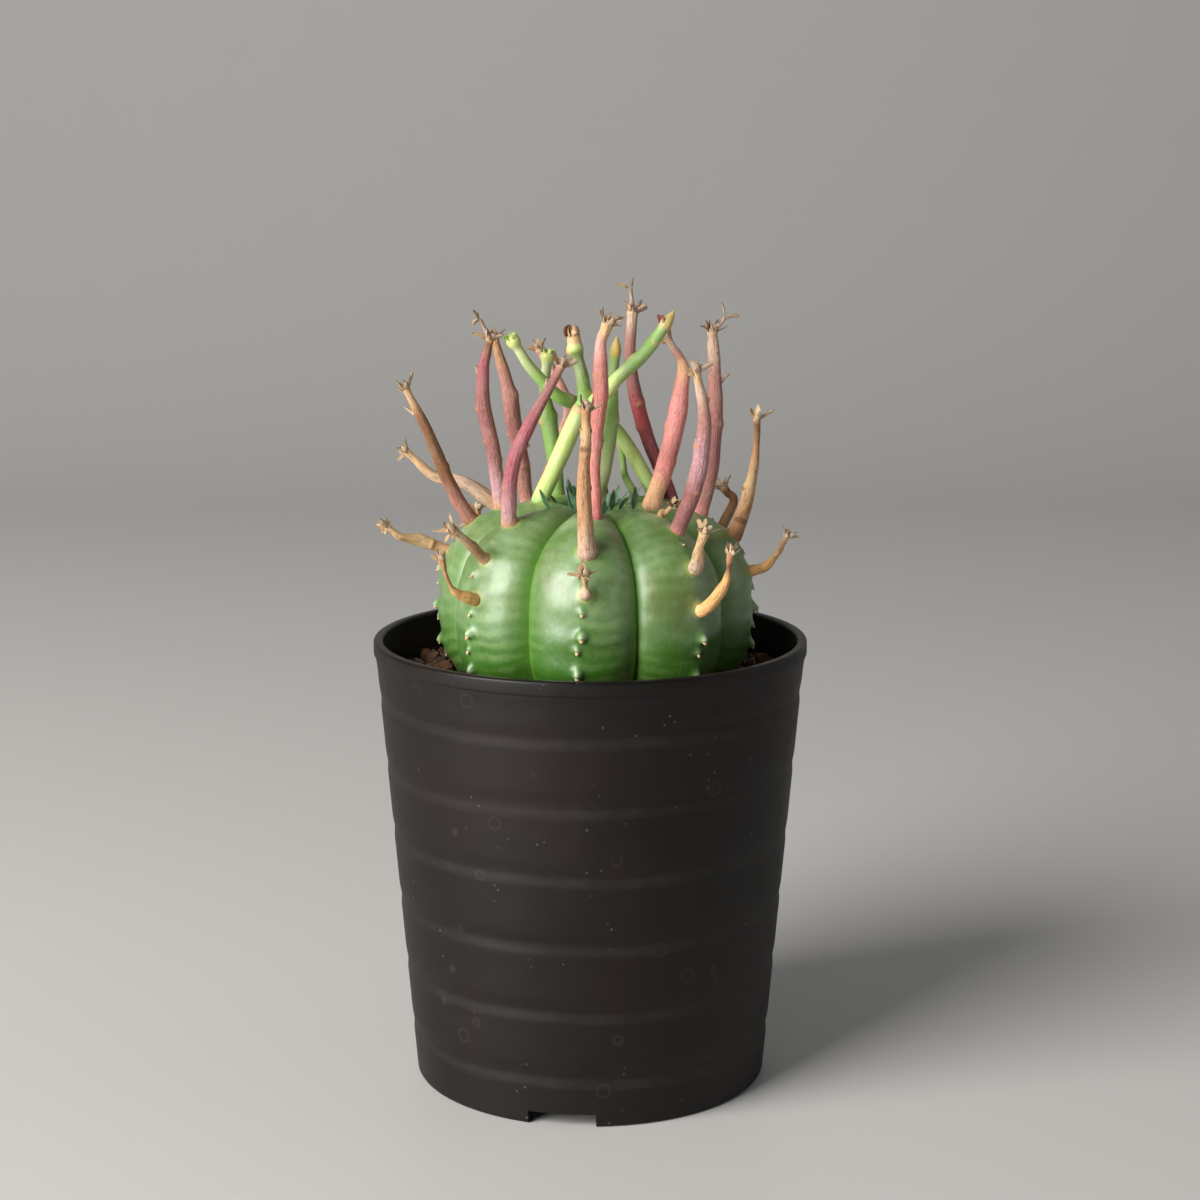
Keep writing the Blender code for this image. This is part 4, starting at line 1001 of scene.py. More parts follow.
def fringe_shells(middle, axis, tip, palette):
    """The lobes of an open flower head: short bracts that stand in two rings and lean out."""
    tones = (srgb_of(palette, "leaf"), srgb_of(palette, "fringe"))
    shells = []
    for number in range(FRINGE_ALL):
        lean, curl, size, rim = (22, -45, 1.25, 1.05) if number < FRINGE_OUTER else (8, 5, 0.9, 0.4)
        blade = Blade(number * 51.4 + 17, lean, curl, size, 1.0)
        shells.append(bract_of(blade, middle, axis, tip * rim, tones))
    return shells


def srgb_of(palette, name):
    """A named stalk colour as a tuple of linear shares."""
    return tuple(getattr(palette, name))


# Materials


class Wire:
    """The output of a node, so that a material's maths is written as a Python expression."""

    def __init__(self, sheet, socket):
        self.sheet, self.socket = sheet, socket

    def math(self, operation, first, second=None):
        return self.sheet.node("ShaderNodeMath", {"operation": operation}, {0: first, 1: second})

    def __add__(self, other):
        return self.math("ADD", self, other)

    def __radd__(self, other):
        return self.math("ADD", other, self)

    def __sub__(self, other):
        return self.math("SUBTRACT", self, other)

    def __rsub__(self, other):
        return self.math("SUBTRACT", other, self)

    def __mul__(self, other):
        return self.math("MULTIPLY", self, other)

    def __rmul__(self, other):
        return self.math("MULTIPLY", other, self)

    def sine(self):
        return self.math("SINE", self)


class Sheet:
    """The nodes of one material, and the few patterns that the finishes share."""

    def __init__(self, name, **constants):
        self.material = bpy.data.materials.new(name)
        self.material.use_nodes = True
        self.tree = self.material.node_tree
        self.shader = self.tree.nodes["Principled BSDF"]
        for socket, value in constants.items():
            self.shader.inputs[socket.replace("_", " ")].default_value = value
        self.place = self.node("ShaderNodeTexCoord", {}, {}, "Object")

    def node(self, kind, settings, values, output=0):
        """Adds a node: its settings first, then the values or links of its sockets, and gives one
        output."""
        made = self.tree.nodes.new(kind)
        for name, value in settings.items():
            if name == "stops":
                self.set_stops(made.color_ramp, value)
            else:
                setattr(made, name, value)
        for socket, value in values.items():
            if isinstance(value, Wire):
                self.tree.links.new(value.socket, made.inputs[socket])
            elif value is not None:
                made.inputs[socket].default_value = value
        return Wire(self, made.outputs[output])

    @staticmethod
    def set_stops(ramp, stops):
        while len(ramp.elements) < len(stops):
            ramp.elements.new(1.0)
        for element, (place, tone) in zip(ramp.elements, stops):
            element.position, element.color = place, (*tone, 1.0)

    def attribute(self, name, output="Fac"):
        return self.node("ShaderNodeAttribute", {"attribute_name": name}, {}, output)

    def height(self):
        return self.node("ShaderNodeSeparateXYZ", {}, {0: self.place}, "Z")

    def vector(self, operation, first, second=None, output=0):
        settings = {"operation": operation}
        return self.node("ShaderNodeVectorMath", settings, {0: first, 1: second}, output)

    def noise(self, scale, detail=3.0, roughness=0.55, vector=None):
        values = {
            "Vector": vector or self.place, "Scale": scale, "Detail": detail, "Roughness": roughness,
        }
        return self.node("ShaderNodeTexNoise", {}, values, "Fac")

    def cells(self, scale):
        """The distance to the nearest of the points strewn over space."""
        return self.node("ShaderNodeTexVoronoi", {}, {"Vector": self.place, "Scale": scale}, "Distance")

    def step(self, value, low, high):
        """A mask that eases from 0 at `low` to 1 at `high`, either way round."""
        settings = {"interpolation_type": "SMOOTHSTEP"}
        return self.node("ShaderNodeMapRange", settings, {"Value": value, "From Min": low, "From Max": high})

    def mix(self, mask, first, second, blend="MIX"):
        """Colours mixed by a mask."""
        settings = {"data_type": "RGBA", "blend_type": blend}
        first, second = (tone if isinstance(tone, Wire) else (*tone, 1.0) for tone in (first, second))
        return self.node("ShaderNodeMix", settings, {0: mask, 6: first, 7: second}, 2)

    def finish(self, base, roughness=None, relief=()):
        """Feeds the shader; relief is (height, depth in metres) for each bump, the broadest first."""
        bump = None
        for height, depth in relief:
            values = {"Height": height, "Distance": depth, "Strength": 1.0, "Normal": bump}
            bump = self.node("ShaderNodeBump", {}, values)
        for socket, wire in (("Base Color", base), ("Roughness", roughness), ("Normal", bump)):
            if wire is not None:
                self.tree.links.new(wire.socket, self.shader.inputs[socket])
        return self.material


def pot_finish(settings):
    """Satin black plastic: warm and cool blacks, moulding grain, dry water rings, dusty specks, and a
    painted highlight along the lower flank of each ring groove."""
    sheet = Sheet("pot_satin_black", Specular_IOR_Level=0.27)
    broad = sheet.noise(28, 4)
    base = sheet.mix(sheet.step(broad, 0.4, 0.62), settings.cool, settings.warm)
    spot = sheet.cells(120)
    keep = sheet.step(sheet.noise(60, 1), 0.5, 0.6)
    ring = sheet.step(spot, 0.13, 0.15) * sheet.step(spot, 0.2, 0.165) * keep
    speck = sheet.step(sheet.cells(520), 0.16, 0.1) * sheet.step(sheet.noise(210, 1), 0.6, 0.68)
    film = sheet.step(sheet.noise(70, 6, 0.7), 0.45, 0.85)
    base = sheet.mix(ring * 0.07 + speck * 0.35 + film * 0.02, base, settings.dust)
    edge = sheet.step(sheet.height(), settings.height - LIP_ROUND * 1.6, settings.height - LIP_ROUND * 0.5)
    pitch = (settings.height - GROOVE_BELOW_RIM - GROOVE_LOWEST) / (GROOVE_COUNT - 1)
    wave = ((sheet.height() - GROOVE_LOWEST) * (math.tau / pitch) + broad * 1.2 + 1.5).sine()
    under_lip = sheet.step(sheet.height(), settings.height - 8 * MM, settings.height - 11 * MM)
    painted_groove_highlight = sheet.step(wave, 0.8, 1.0) * under_lip
    # Painted highlight: this pale band along the lower flank of each groove stands for the window's
    # reflection there.
    base = sheet.mix(painted_groove_highlight * (0.03 + film * 0.05), base, settings.dust)
    rough = 0.47 + broad * 0.12 + film * 0.12 + ring * 0.1 - edge * 0.16
    fine = sheet.noise(2600, 2)
    return sheet.finish(base, rough, ((sheet.noise(160, 2), 0.00008), (fine, 0.00002)))


def soil_finish(settings):
    """Peaty bed under the grit."""
    sheet = Sheet("soil_peat")
    clods = sheet.noise(420, 5, 0.65)
    base = sheet.mix(sheet.step(clods, 0.35, 0.7), settings.peat, settings.brown)
    return sheet.finish(base, 0.92 + clods * 0.05, ((clods, 0.0012),))


def grit_finish():
    """Grains of crushed stone, each with its own tone, pitted and dusty."""
    sheet = Sheet("soil_grit_stone")
    tone = sheet.attribute("tone", "Color")
    pits = sheet.noise(1500, 4, 0.7)
    base = sheet.mix(sheet.step(pits, 0.45, 0.75), tone, sheet.mix(1.0, tone, (1.5, 1.45, 1.4), "MULTIPLY"))
    base = sheet.mix(sheet.step(pits, 0.42, 0.3), base, sheet.mix(1.0, tone, (0.45, 0.42, 0.4), "MULTIPLY"))
    return sheet.finish(base, 0.8 + pits * 0.2, ((pits, 0.0003),))


# Pale scratches on the skin: both ends in millimetres, and the half width
SCRATCHES = (
    ((-24.5, -19.5, 108.5), (-20.5, -20.5, 114.5), 0.42),
    ((22.0, -21.5, 107.5), (20.0, -21.0, 112.0), 0.36),
)


def stem_finish(settings):
    """Waxy skin: vivid low down with painted shade there, grey-green above, with pale bands across the ribs,
    dark furrows, whitish teeth, a yellower collar round each stalk, a fine pale stipple and patches of
    bloom."""
    sheet = Sheet(
        "stem_skin", Specular_IOR_Level=0.7, Coat_Weight=0.55, Coat_Roughness=0.34,
        Subsurface_Weight=0.12, Subsurface_Scale=0.0035, Subsurface_Radius=(0.7, 1.0, 0.3),
    )
    aside, arc = sheet.attribute("aside"), sheet.attribute("arc")
    tooth, collar = sheet.attribute("tooth"), sheet.attribute("collar")
    mottle = sheet.noise(70, 4, 0.6)
    high = sheet.step(sheet.height() + (mottle - 0.5) * 0.016, 0.088, 0.112)
    # Painted shade: the low skin is darker than the stem's own green, standing for the shade low in the pot.
    base = sheet.mix(high, settings.low, settings.high)
    blotch = sheet.step(sheet.noise(52, 5, 0.65), 0.5, 0.66)
    base = sheet.mix(blotch * (0.15 + high * 0.45), base, settings.olive)
    warp = sheet.noise(60, 3) * 14.0
    wave = ((arc * (math.tau / BAND_PITCH)) + aside * 1.6 + warp).sine() * 0.5 + 0.5
    banded = sheet.step(wave, 0.0, 1.0) * sheet.step(sheet.noise(75, 3), 0.38, 0.66)
    base = sheet.mix(banded * (1 - high * 0.4) * 0.24, base, settings.band)
    bloom = sheet.step(sheet.noise(130, 5, 0.65), 0.38, 0.72) * (0.05 + high * 0.3)
    base = sheet.mix(bloom * sheet.step(aside, 1.0, 0.55), base, settings.bloom)
    base = sheet.mix(sheet.step(aside, 0.8, 1.0) * 0.8, base, settings.furrow)
    base = sheet.mix(sheet.step(tooth, 0.15, 0.8) * 0.7, base, settings.horn)
    base = sheet.mix(sheet.step(collar, 0.25, 0.9) * 0.75, base, settings.collar)
    stipple = sheet.step(sheet.noise(2300, 2, 0.6), 0.54, 0.7)
    base = sheet.mix(stipple * 0.1, base, settings.bloom)
    for foot, head, width in SCRATCHES:
        base = sheet.mix(scratch(sheet, foot, head, width) * 0.75, base, settings.bloom)
    rough = 0.34 + mottle * 0.12 + stipple * 0.05 + high * 0.03
    fine = sheet.noise(900, 3)
    return sheet.finish(base, rough, ((mottle, 0.0005), (fine, 0.00004)))


def scratch(sheet, foot, head, width):
    """A mask near the line between two points: the length of (place - foot) x direction, eased at the
    ends."""
    foot, head = (np.array(end) * MM for end in (foot, head))
    direction = unit(head - foot)
    offset = sheet.vector("SUBTRACT", sheet.place, foot)
    away = sheet.vector("LENGTH", sheet.vector("CROSS_PRODUCT", offset, direction), output="Value")
    along = sheet.vector("DOT_PRODUCT", offset, direction, "Value")
    size = float(np.linalg.norm(head - foot))
    ends = sheet.step(along, 0.0, size * 0.25) * sheet.step(along, size, size * 0.75)
    ragged = (sheet.noise(700, 2) - 0.5) * 0.0006
    return sheet.step(away + ragged, width * MM, width * MM * 0.35) * ends


def tip_finish(settings):
    """Horny tips, whitish at the foot, pale orange above and a little brown at the point."""
    sheet = Sheet("tooth_tip")
    share = sheet.attribute("share")
    grain = sheet.noise(1800, 3)
    base = sheet.mix(sheet.step(share, 0.0, 0.45), settings.horn, settings.scar)
    base = sheet.mix(sheet.step(share + grain * 0.2, 0.75, 1.05) * 0.35, base, srgb(120, 70, 44))
    return sheet.finish(base, 0.55 + grain * 0.2, ((grain, 0.00006),))


def leaf_finish(settings):
    """Small blue-green leaves, paler and drier along their edges."""
    sheet = Sheet("crown_leaf_skin", Subsurface_Weight=0.08, Subsurface_Scale=0.001)
    grain = sheet.noise(600, 4)
    edge = sheet.step(sheet.attribute("edge"), 0.55, 1.0)
    base = sheet.mix(sheet.step(grain, 0.35, 0.7) * 0.5, settings.leaf, settings.leaf_edge)
    base = sheet.mix(edge * 0.6, base, settings.leaf_edge)
    return sheet.finish(base, 0.42 + grain * 0.2, ((grain, 0.00008),))


Finish = namedtuple("Finish", "pale dark relief flecks rough bloom")
# How strongly each kind of stalk shows pale and dark streaks and their relief, flecks, roughness and bloom
STALK_FINISHES = {
    "green_stalk": Finish(0.16, 0.12, 0.5, 0.1, 0.4, 0.25),
    "mauve_stalk": Finish(0.7, 0.4, 1.5, 0.6, 0.5, 0.12),
    "pink_stalk": Finish(0.55, 0.32, 1.3, 0.55, 0.45, 0.15),
    "crimson_stalk": Finish(0.3, 0.3, 1.2, 0.5, 0.42, 0.08),
    "golden_stalk": Finish(0.3, 0.4, 1.0, 0.4, 0.55, 0.0),
    "dry_stalk": Finish(0.35, 0.5, 1.2, 0.6, 0.75, 0.1),
}


def stalk_finish(slot):
    """Skin of a stalk, over its own tones: streaks that run along it, stronger where it is dry, brown
    flecks, pinkish scars and a little bloom."""
    look = STALK_FINISHES[slot]
    sheet = Sheet(
        slot + "_skin", Subsurface_Weight=0.1 if "dry" not in slot else 0.03, Subsurface_Scale=0.0012,
        Subsurface_Radius=(1.0, 0.6, 0.3),
    )
    tone, grain = sheet.attribute("tone", "Color"), sheet.attribute("grain", "Vector")
    dry, scar = sheet.attribute("dry"), sheet.attribute("scar")
    fibre = sheet.noise(8.0, 4, 0.65, sheet.vector("MULTIPLY", grain, (1.0, 1.0, 50.0)))
    fissure = sheet.noise(2.6, 3, 0.7, sheet.vector("MULTIPLY", grain, (1.0, 1.0, 95.0)))
    patch = sheet.noise(260, 4, 0.6)
    pale = sheet.mix(1.0, tone, (1.55, 1.5, 1.5), "MULTIPLY")
    dark = sheet.mix(1.0, tone, (0.42, 0.36, 0.36), "MULTIPLY")
    base = sheet.mix(sheet.step(fibre, 0.5, 0.72) * look.pale * (0.6 + dry * 0.6), tone, pale)
    base = sheet.mix(sheet.step(fissure, 0.46, 0.34) * look.dark * (0.5 + dry), base, dark)
    wart = sheet.noise(1150, 2, 0.6)
    base = sheet.mix(sheet.step(wart, 0.5, 0.66) * look.pale * 0.5, base, pale)
    base = sheet.mix(sheet.step(patch, 0.42, 0.72) * look.bloom, base, srgb(214, 202, 192))
    fleck = sheet.step(sheet.noise(900, 2, 0.5), 0.62, 0.72)
    base = sheet.mix(fleck * look.flecks * (0.35 + dry * 0.4), base, srgb(108, 66, 44))
    base = sheet.mix(scar * 0.75, base, sheet.mix(dry, srgb(222, 160, 118), srgb(116, 76, 50)))
    rough = look.rough + dry * 0.22 + (patch - 0.5) * 0.15
    depth = 0.00016 * look.relief
    return sheet.finish(base, rough, ((fissure, depth * 1.4), (fibre, depth), (wart, depth)))


# Stage


def floor_finish(settings):
    sheet = Sheet("stage_paper")
    grain = sheet.noise(40, 3)
    tone = tuple(settings.floor)
    base = sheet.mix(sheet.step(grain, 0.3, 0.7) * 0.04, tone, (0.6, 0.6, 0.6))
    return sheet.finish(base)


def add_area_light(name, place, target, size, power, tint):
    data = bpy.data.lights.new(name, "AREA")
    data.shape, data.size, data.size_y = "RECTANGLE", size[0], size[1]
    data.energy, data.color = power, tint
    light = bpy.data.objects.new(name, data)
    light.location = place
    away = np.array(place) - np.array(target)
    flat = math.hypot(away[0], away[1])
    light.rotation_euler = (math.atan2(flat, away[2]), 0, math.atan2(away[0], -away[1]))
    bpy.context.scene.collection.objects.link(light)


# Operators


class PLANT_OT_pot(bpy.types.Operator):
    """Turns the grooved pot: a profile carried round the axis, with feet between notches and drain
    holes"""
    bl_idname = "plant.pot"
    bl_label = "Pot"

    def execute(self, context):
        settings = context.scene.plant_pot
        piece = add_piece("pot_shell", pot_shell(settings), pot_finish(settings), "pot", "pot", crease=40)
        cut_drain_holes(piece)
        return {"FINISHED"}


def wall_radius(z, settings):
    """Outer radius of the tapered wall."""
    top = settings.height - LIP_HEIGHT
    return POT_BASE_RADIUS + (settings.rim_radius - LIP_STEP - POT_BASE_RADIUS) * z / top


def nearest(turns, marks):
    """The angle from each direction to the nearest of the marks."""
    return np.abs((turns[:, None] - marks + math.pi) % math.tau - math.pi).min(1)


def rounded(corner_out, corner_in, centre, count=6):
    """A quarter round from one point to another about a centre, as (radius, height) rows."""
    angles = np.linspace(0, math.pi / 2, count)[:, None]
    centre, first, second = (np.array(point) for point in (centre, corner_out, corner_in))
    return centre + (first - centre) * np.cos(angles) + (second - centre) * np.sin(angles)


def pot_shell(settings):
    """The pot's section carried round the axis. In the wall the radius is the taper less a bell for each
    ring groove, whose height and depth wander slightly round the pot; where a notch is, the foot's rows
    are lifted to its top."""
    height, rim = settings.height, settings.rim_radius
    top, inner = height - LIP_HEIGHT, wall_radius(height - LIP_HEIGHT, settings) - POT_WALL
    floor_top, r = FOOT_HEIGHT + FLOOR_THICKNESS, LIP_ROUND
    foot_in = POT_BASE_RADIUS - FOOT_WIDTH
    wall_z = np.linspace(top - 0.4 * MM, 0.9 * MM, WALL_ROWS)
    wall = np.column_stack([wall_radius(wall_z, settings), wall_z])
    inside_z = np.linspace(floor_top + 0.8 * MM, height - r, INSIDE_ROWS)
    inside = np.column_stack([wall_radius(np.minimum(inside_z, top), settings) - POT_WALL, inside_z])
    rows = np.concatenate([
        [(DRAIN_CENTRE_RADIUS, floor_top), (DRAIN_CENTRE_RADIUS + 0.3 * MM, floor_top),
         (DRAIN_CIRCLE, floor_top), (wall_radius(floor_top, settings) - POT_WALL - 0.8 * MM, floor_top)],
        inside,
        rounded((inner, height - r), (inner + r, height), (inner + r, height - r)),
        rounded((rim - r, height), (rim, height - r), (rim - r, height - r)),
        rounded((rim, top + r), (rim - 0.35 * MM, top + 0.1 * MM), (rim - 0.35 * MM, top + r), 4),
        wall,
        rounded((wall_radius(0.9 * MM, settings), 0.9 * MM), (POT_BASE_RADIUS - 0.8 * MM, 0.0),
                (POT_BASE_RADIUS - 0.8 * MM, 0.9 * MM), 5)[1:],
        rounded((foot_in + 0.4 * MM, 0.0), (foot_in, 0.4 * MM), (foot_in + 0.4 * MM, 0.4 * MM), 4),
        [(foot_in, FOOT_HEIGHT - 0.2 * MM), (foot_in - 0.2 * MM, FOOT_HEIGHT),
         (DRAIN_CIRCLE, FOOT_HEIGHT), (DRAIN_CENTRE_RADIUS, FOOT_HEIGHT)],
    ])
    half_notch = NOTCH_WIDTH / 2 / POT_BASE_RADIUS
    notches = NOTCH_TURN + round_angles(NOTCH_COUNT)
    edges = notches[:, None] + (-half_notch, half_notch)
    even = round_angles(POT_COLUMNS)
    near = nearest(even, edges.ravel())
    step = 2e-4
    turns = np.sort(np.concatenate([even[near > 3 * step], (edges - step).ravel() % math.tau,
                                    (edges + step).ravel() % math.tau]))
    radius, z = (rows[:, part, None] + 0 * turns for part in (0, 1))
    on_wall = (radius > wall_radius(z, settings) - 0.01 * MM) & (z < top) & (z > 1 * MM)
    middles = np.linspace(height - GROOVE_BELOW_RIM, GROOVE_LOWEST, GROOVE_COUNT)
    for number, middle in enumerate(middles):
        wander = 0.45 * np.sin(turns + 1.7 * number) + 0.3 * np.sin(2 * turns + number)
        wander = wander + 0.12 * np.sin(5 * turns + 2 * number)
        share = 0.9 + 0.2 * np.sin(turns - 1.1 * number) + 0.12 * np.sin(3 * turns + number)
        depth = settings.groove_depth * share
        away = (z - middle - wander * MM) / (settings.groove_width * 0.34)
        lip = np.exp(-((away + 1.25) ** 2) * 2.5)
        radius = radius - on_wall * (depth * np.exp(-(away**2)) - 0.05 * MM * lip)
    radius = radius + on_wall * (LIP_STEP - 0.35 * MM) * np.exp(-(((top - z) / (1.6 * MM)) ** 2))
    lifted = np.where(nearest(turns, notches) < half_notch, NOTCH_HEIGHT, 0)
    z = np.maximum(z, lifted * (radius > foot_in - 0.1 * MM))
    points = np.stack([radius * np.sin(turns), -radius * np.cos(turns), z], -1)
    return ring_shell(points)


def ring_shell(points):
    """Closes a grid both ways, for a body with a hole through it."""
    count, around = points.shape[:2]
    here, there = np.arange(around), (np.arange(around) + 1) % around
    row, following = (np.arange(count) * around)[:, None], ((np.arange(count) + 1) % count * around)[:, None]
    quads = np.stack([row + here, row + there, following + there, following + here], -1).reshape(-1, 4)
    made = Shell(points.reshape(-1, 3), [quads], {})
    return made if made.volume() > 0 else made.turned()


def cut_drain_holes(piece):
    """Cuts round holes through the floor, keeps the result as the piece's mesh and removes the cutter."""
    angle = round_angles(DRAIN_SIDES)
    shells = []
    for number in range(DRAIN_COUNT):
        turn = number * math.tau / DRAIN_COUNT
        x, y = DRAIN_CIRCLE * math.cos(turn), DRAIN_CIRCLE * math.sin(turn)
        circle = np.stack([x + DRAIN_RADIUS * np.cos(angle), y + DRAIN_RADIUS * np.sin(angle)], -1)
        rings = np.stack([
            np.column_stack([circle, np.full(DRAIN_SIDES, z)])
            for z in (FOOT_HEIGHT - 1 * MM, FOOT_HEIGHT + 2.6 * MM)
        ])
        shells.append(Shell.of_grid(rings, {}))
    shell = Shell.joined(shells)
    mesh = bpy.data.meshes.new("drain_cutter")
    mesh.from_pydata(shell.points.tolist(), [], [face for faces in shell.faces for face in faces.tolist()])
    cutter = bpy.data.objects.new("drain_cutter", mesh)
    bpy.context.scene.collection.objects.link(cutter)
    cut = piece.modifiers.new("Drain holes", "BOOLEAN")
    cut.operation, cut.solver, cut.object = "DIFFERENCE", "EXACT", cutter
    evaluated = piece.evaluated_get(bpy.context.evaluated_depsgraph_get())
    baked = bpy.data.meshes.new_from_object(evaluated)
    piece.modifiers.clear()
    piece.data = baked
    bpy.data.objects.remove(cutter)
    if len(baked.polygons) == 0:
        raise RuntimeError("cutting the drain holes left no pot")


class PLANT_OT_soil(bpy.types.Operator):
    """Fills the pot with soil and strews grit over it"""
    bl_idname = "plant.soil"
    bl_label = "Soil"

    def execute(self, context):
        soil, pot = context.scene.plant_soil, context.scene.plant_pot
        add_piece("soil_bed", soil_shell(pot), soil_finish(soil), "soil", "soil")
        grit = grit_shell(soil, pot, context.scene.plant_stem)
        add_piece("soil_grit", grit, grit_finish(), "soil", crease=28)
        return {"FINISHED"}


def soil_height(x, y):
    """The soil's surface: its level and three slow waves that cross."""
    return SOIL_LEVEL - 0.9 * MM + 0.5 * MM * (
        np.sin(190 * x + 60 * y) + 0.7 * np.sin(170 * y - 90 * x + 1) + 0.5 * np.sin(330 * x + 250 * y + 2)
    )


def soil_shell(pot):
    """The bed: up the inside of the wall, in over the wavy surface, and down into the hollow that the stem
    fills."""
    bottom = FOOT_HEIGHT + FLOOR_THICKNESS + 0.2 * MM
    wall = 0.25 * MM + POT_WALL
    edge = wall_radius(SOIL_LEVEL, pot) - wall
    top = np.column_stack([np.linspace(edge, 24 * MM, 60), np.full(60, SOIL_LEVEL)])
    hollow = np.column_stack([np.linspace(22 * MM, 6 * MM, 6), SOIL_LEVEL - np.linspace(4 * MM, 8 * MM, 6)])
    rows = np.concatenate([[(6 * MM, bottom), (wall_radius(bottom, pot) - wall, bottom)], top, hollow])
    turns = round_angles(SOIL_COLUMNS)
    radius, z = (rows[:, part, None] + 0 * turns for part in (0, 1))
    x, y = radius * np.sin(turns), -radius * np.cos(turns)
    surface = (np.arange(len(rows)) >= 2)[:, None] & (np.arange(len(rows)) < 62)[:, None]
    z = np.where(surface, soil_height(x, y), z)
    return Shell.of_grid(np.stack([x, y, z], -1), {})


def pebble():
    """A rough ball of 24 faces: the points of a cube cut into halves each way, pushed out to a ball."""
    steps = np.array([(x, y, z) for x in (-1, 0, 1) for y in (-1, 0, 1) for z in (-1, 0, 1)], float)
    kept = np.abs(steps).max(1) == 1
    index = np.full(27, -1)
    index[kept] = np.arange(kept.sum())
    faces = []
    for axis in range(3):
        for end in (-1, 1):
            for u in (-1, 0):
                for v in (-1, 0):
                    corners = []
                    for du, dv in ((0, 0), (1, 0), (1, 1), (0, 1)):
                        point = np.insert(np.array([u + du, v + dv]), axis, end)
                        corners.append(index[int((point + 1) @ (9, 3, 1))])
                    faces.append(corners if (end > 0) != (axis == 1) else corners[::-1])
    return unit(steps[kept]), np.array(faces)


def grit_shell(settings, pot, stem):
    """Grains strewn over the ring between the stem and the wall: each is the rough ball with its points
    pushed in and out, drawn out to a random length, turned at random and half sunk in the soil."""
    random = np.random.default_rng(SEED)
    ball, faces = pebble()
    count = settings.grains
    size = settings.grain * np.clip(random.lognormal(0, 0.32, count), 0.45, 1.9)
    turn = random.uniform(0, math.tau, count)
    outer = wall_radius(SOIL_LEVEL, pot) - POT_WALL - size * 1.25 - 0.1 * MM
    foot = stem_surface(np.full(count, 1.98), turn, 0.0, stem)
    inner = np.hypot(foot[:, 0], foot[:, 1]) - 0.3 * MM
    radius = np.sqrt(random.uniform(inner**2, outer**2))
    x, y = radius * np.sin(turn), -radius * np.cos(turn)
    lift = size * random.uniform(-0.1, 0.75, count)
    centre = np.stack([x, y, soil_height(x, y) + lift], -1)
    rough = 1 + random.uniform(-0.22, 0.22, (count, len(ball), 1))
    stretch = random.uniform(0.7, 1.15, (count, 1, 3))
    spin = np.linalg.qr(random.normal(size=(count, 3, 3)))[0]
    spin[np.linalg.det(spin) < 0, :, 0] *= -1
    points = np.einsum("nij,nkj->nki", spin, ball * rough * stretch) * size[:, None, None] + centre[:, None]
    tones = np.array([tuple(tone) for tone in (settings.brown, settings.red, settings.pale, settings.dark)])
    pick = tones[random.choice(4, count, p=(0.46, 0.24, 0.14, 0.16))] * random.uniform(0.7, 1.25, (count, 1))
    tone = np.repeat(np.clip(pick, 0, 1), len(ball), axis=0)
    spread = (faces[None] + np.arange(count)[:, None, None] * len(ball)).reshape(-1, 4)
    return Shell(points.reshape(-1, 3), [spread], {"tone": tone})


class PLANT_OT_stem(bpy.types.Operator):
    """Grows the ribbed stem with the teeth on its ridges"""
    bl_idname = "plant.stem"
    bl_label = "Stem"

    def execute(self, context):
        settings = context.scene.plant_stem
        add_piece("stem_body", stem_shell(settings), stem_finish(settings), "stem", "stem", crease=80)
        tips = Shell.joined(tip_shells(settings))
        add_piece("stem_tooth_tips", tips, tip_finish(settings), "stem", crease=80)
        return {"FINISHED"}


class PLANT_OT_leaves(bpy.types.Operator):
    """Sets the small leaves round the crown"""
    bl_idname = "plant.leaves"
    bl_label = "Leaves"

    def execute(self, context):
        settings = context.scene.plant_stem
        finish = leaf_finish(settings)
        for number, (rib, down) in enumerate(LEAVES, 1):
            lean = 22 + 9 * math.sin(number * 2.4)
            shell = leaf_shell(rib_direction(rib), math.radians(down), 5.0, 1.9, lean, settings)
            add_piece(f"crown_leaf_{number}_blade", shell, finish, "leaf", f"crown_leaf_{number}")
        small = [
            leaf_shell(
                rib_direction(0, number * GOLDEN_TURN), math.radians(1.2 + 0.42 * number),
                3.2 + 1.2 * math.sin(number * 1.7), 1.3, 12 + 2.2 * number, settings,
            )
            for number in range(LEAFLETS)
        ]
        add_piece("crown_leaflets", Shell.joined(small), finish, "leaf")
        return {"FINISHED"}


def leaf_shell(turn, down, size, width, lean, settings):
    """A small leaf: its middle line rises from the skin and leans out more towards its pointed end, and
    its section is a flat oval with a groove along its upper face."""
    base = stem_surface(np.array(down), np.array(turn), -0.3 * MM, settings)
    outward, sideways = compass(turn)
    share = np.linspace(0, 1, 14)
    tilt = (math.radians(lean) * (0.5 + 0.9 * share))[:, None]
    along = outward * np.sin(tilt) + np.array((0, 0, 1.0)) * np.cos(tilt)
    path = base + np.cumsum(along, axis=0) * size * MM / len(share)
    half = width / 2 * MM * (0.45 + 0.55 * smooth(share / 0.35)) * np.sqrt(np.clip(1.01 - share**1.8, 0, 1))
    angle = round_angles(12)
    across = half[:, None] * np.cos(angle)
    face = np.cross(along, sideways)
    out = 0.28 * MM * (1.1 - share[:, None]) * np.sin(angle) + 0.35 * np.abs(across)
    points = path[:, None] + across[..., None] * sideways - out[..., None] * face[:, None]
    return Shell.of_grid(points, {"edge": np.broadcast_to(np.abs(np.cos(angle)), across.shape)})


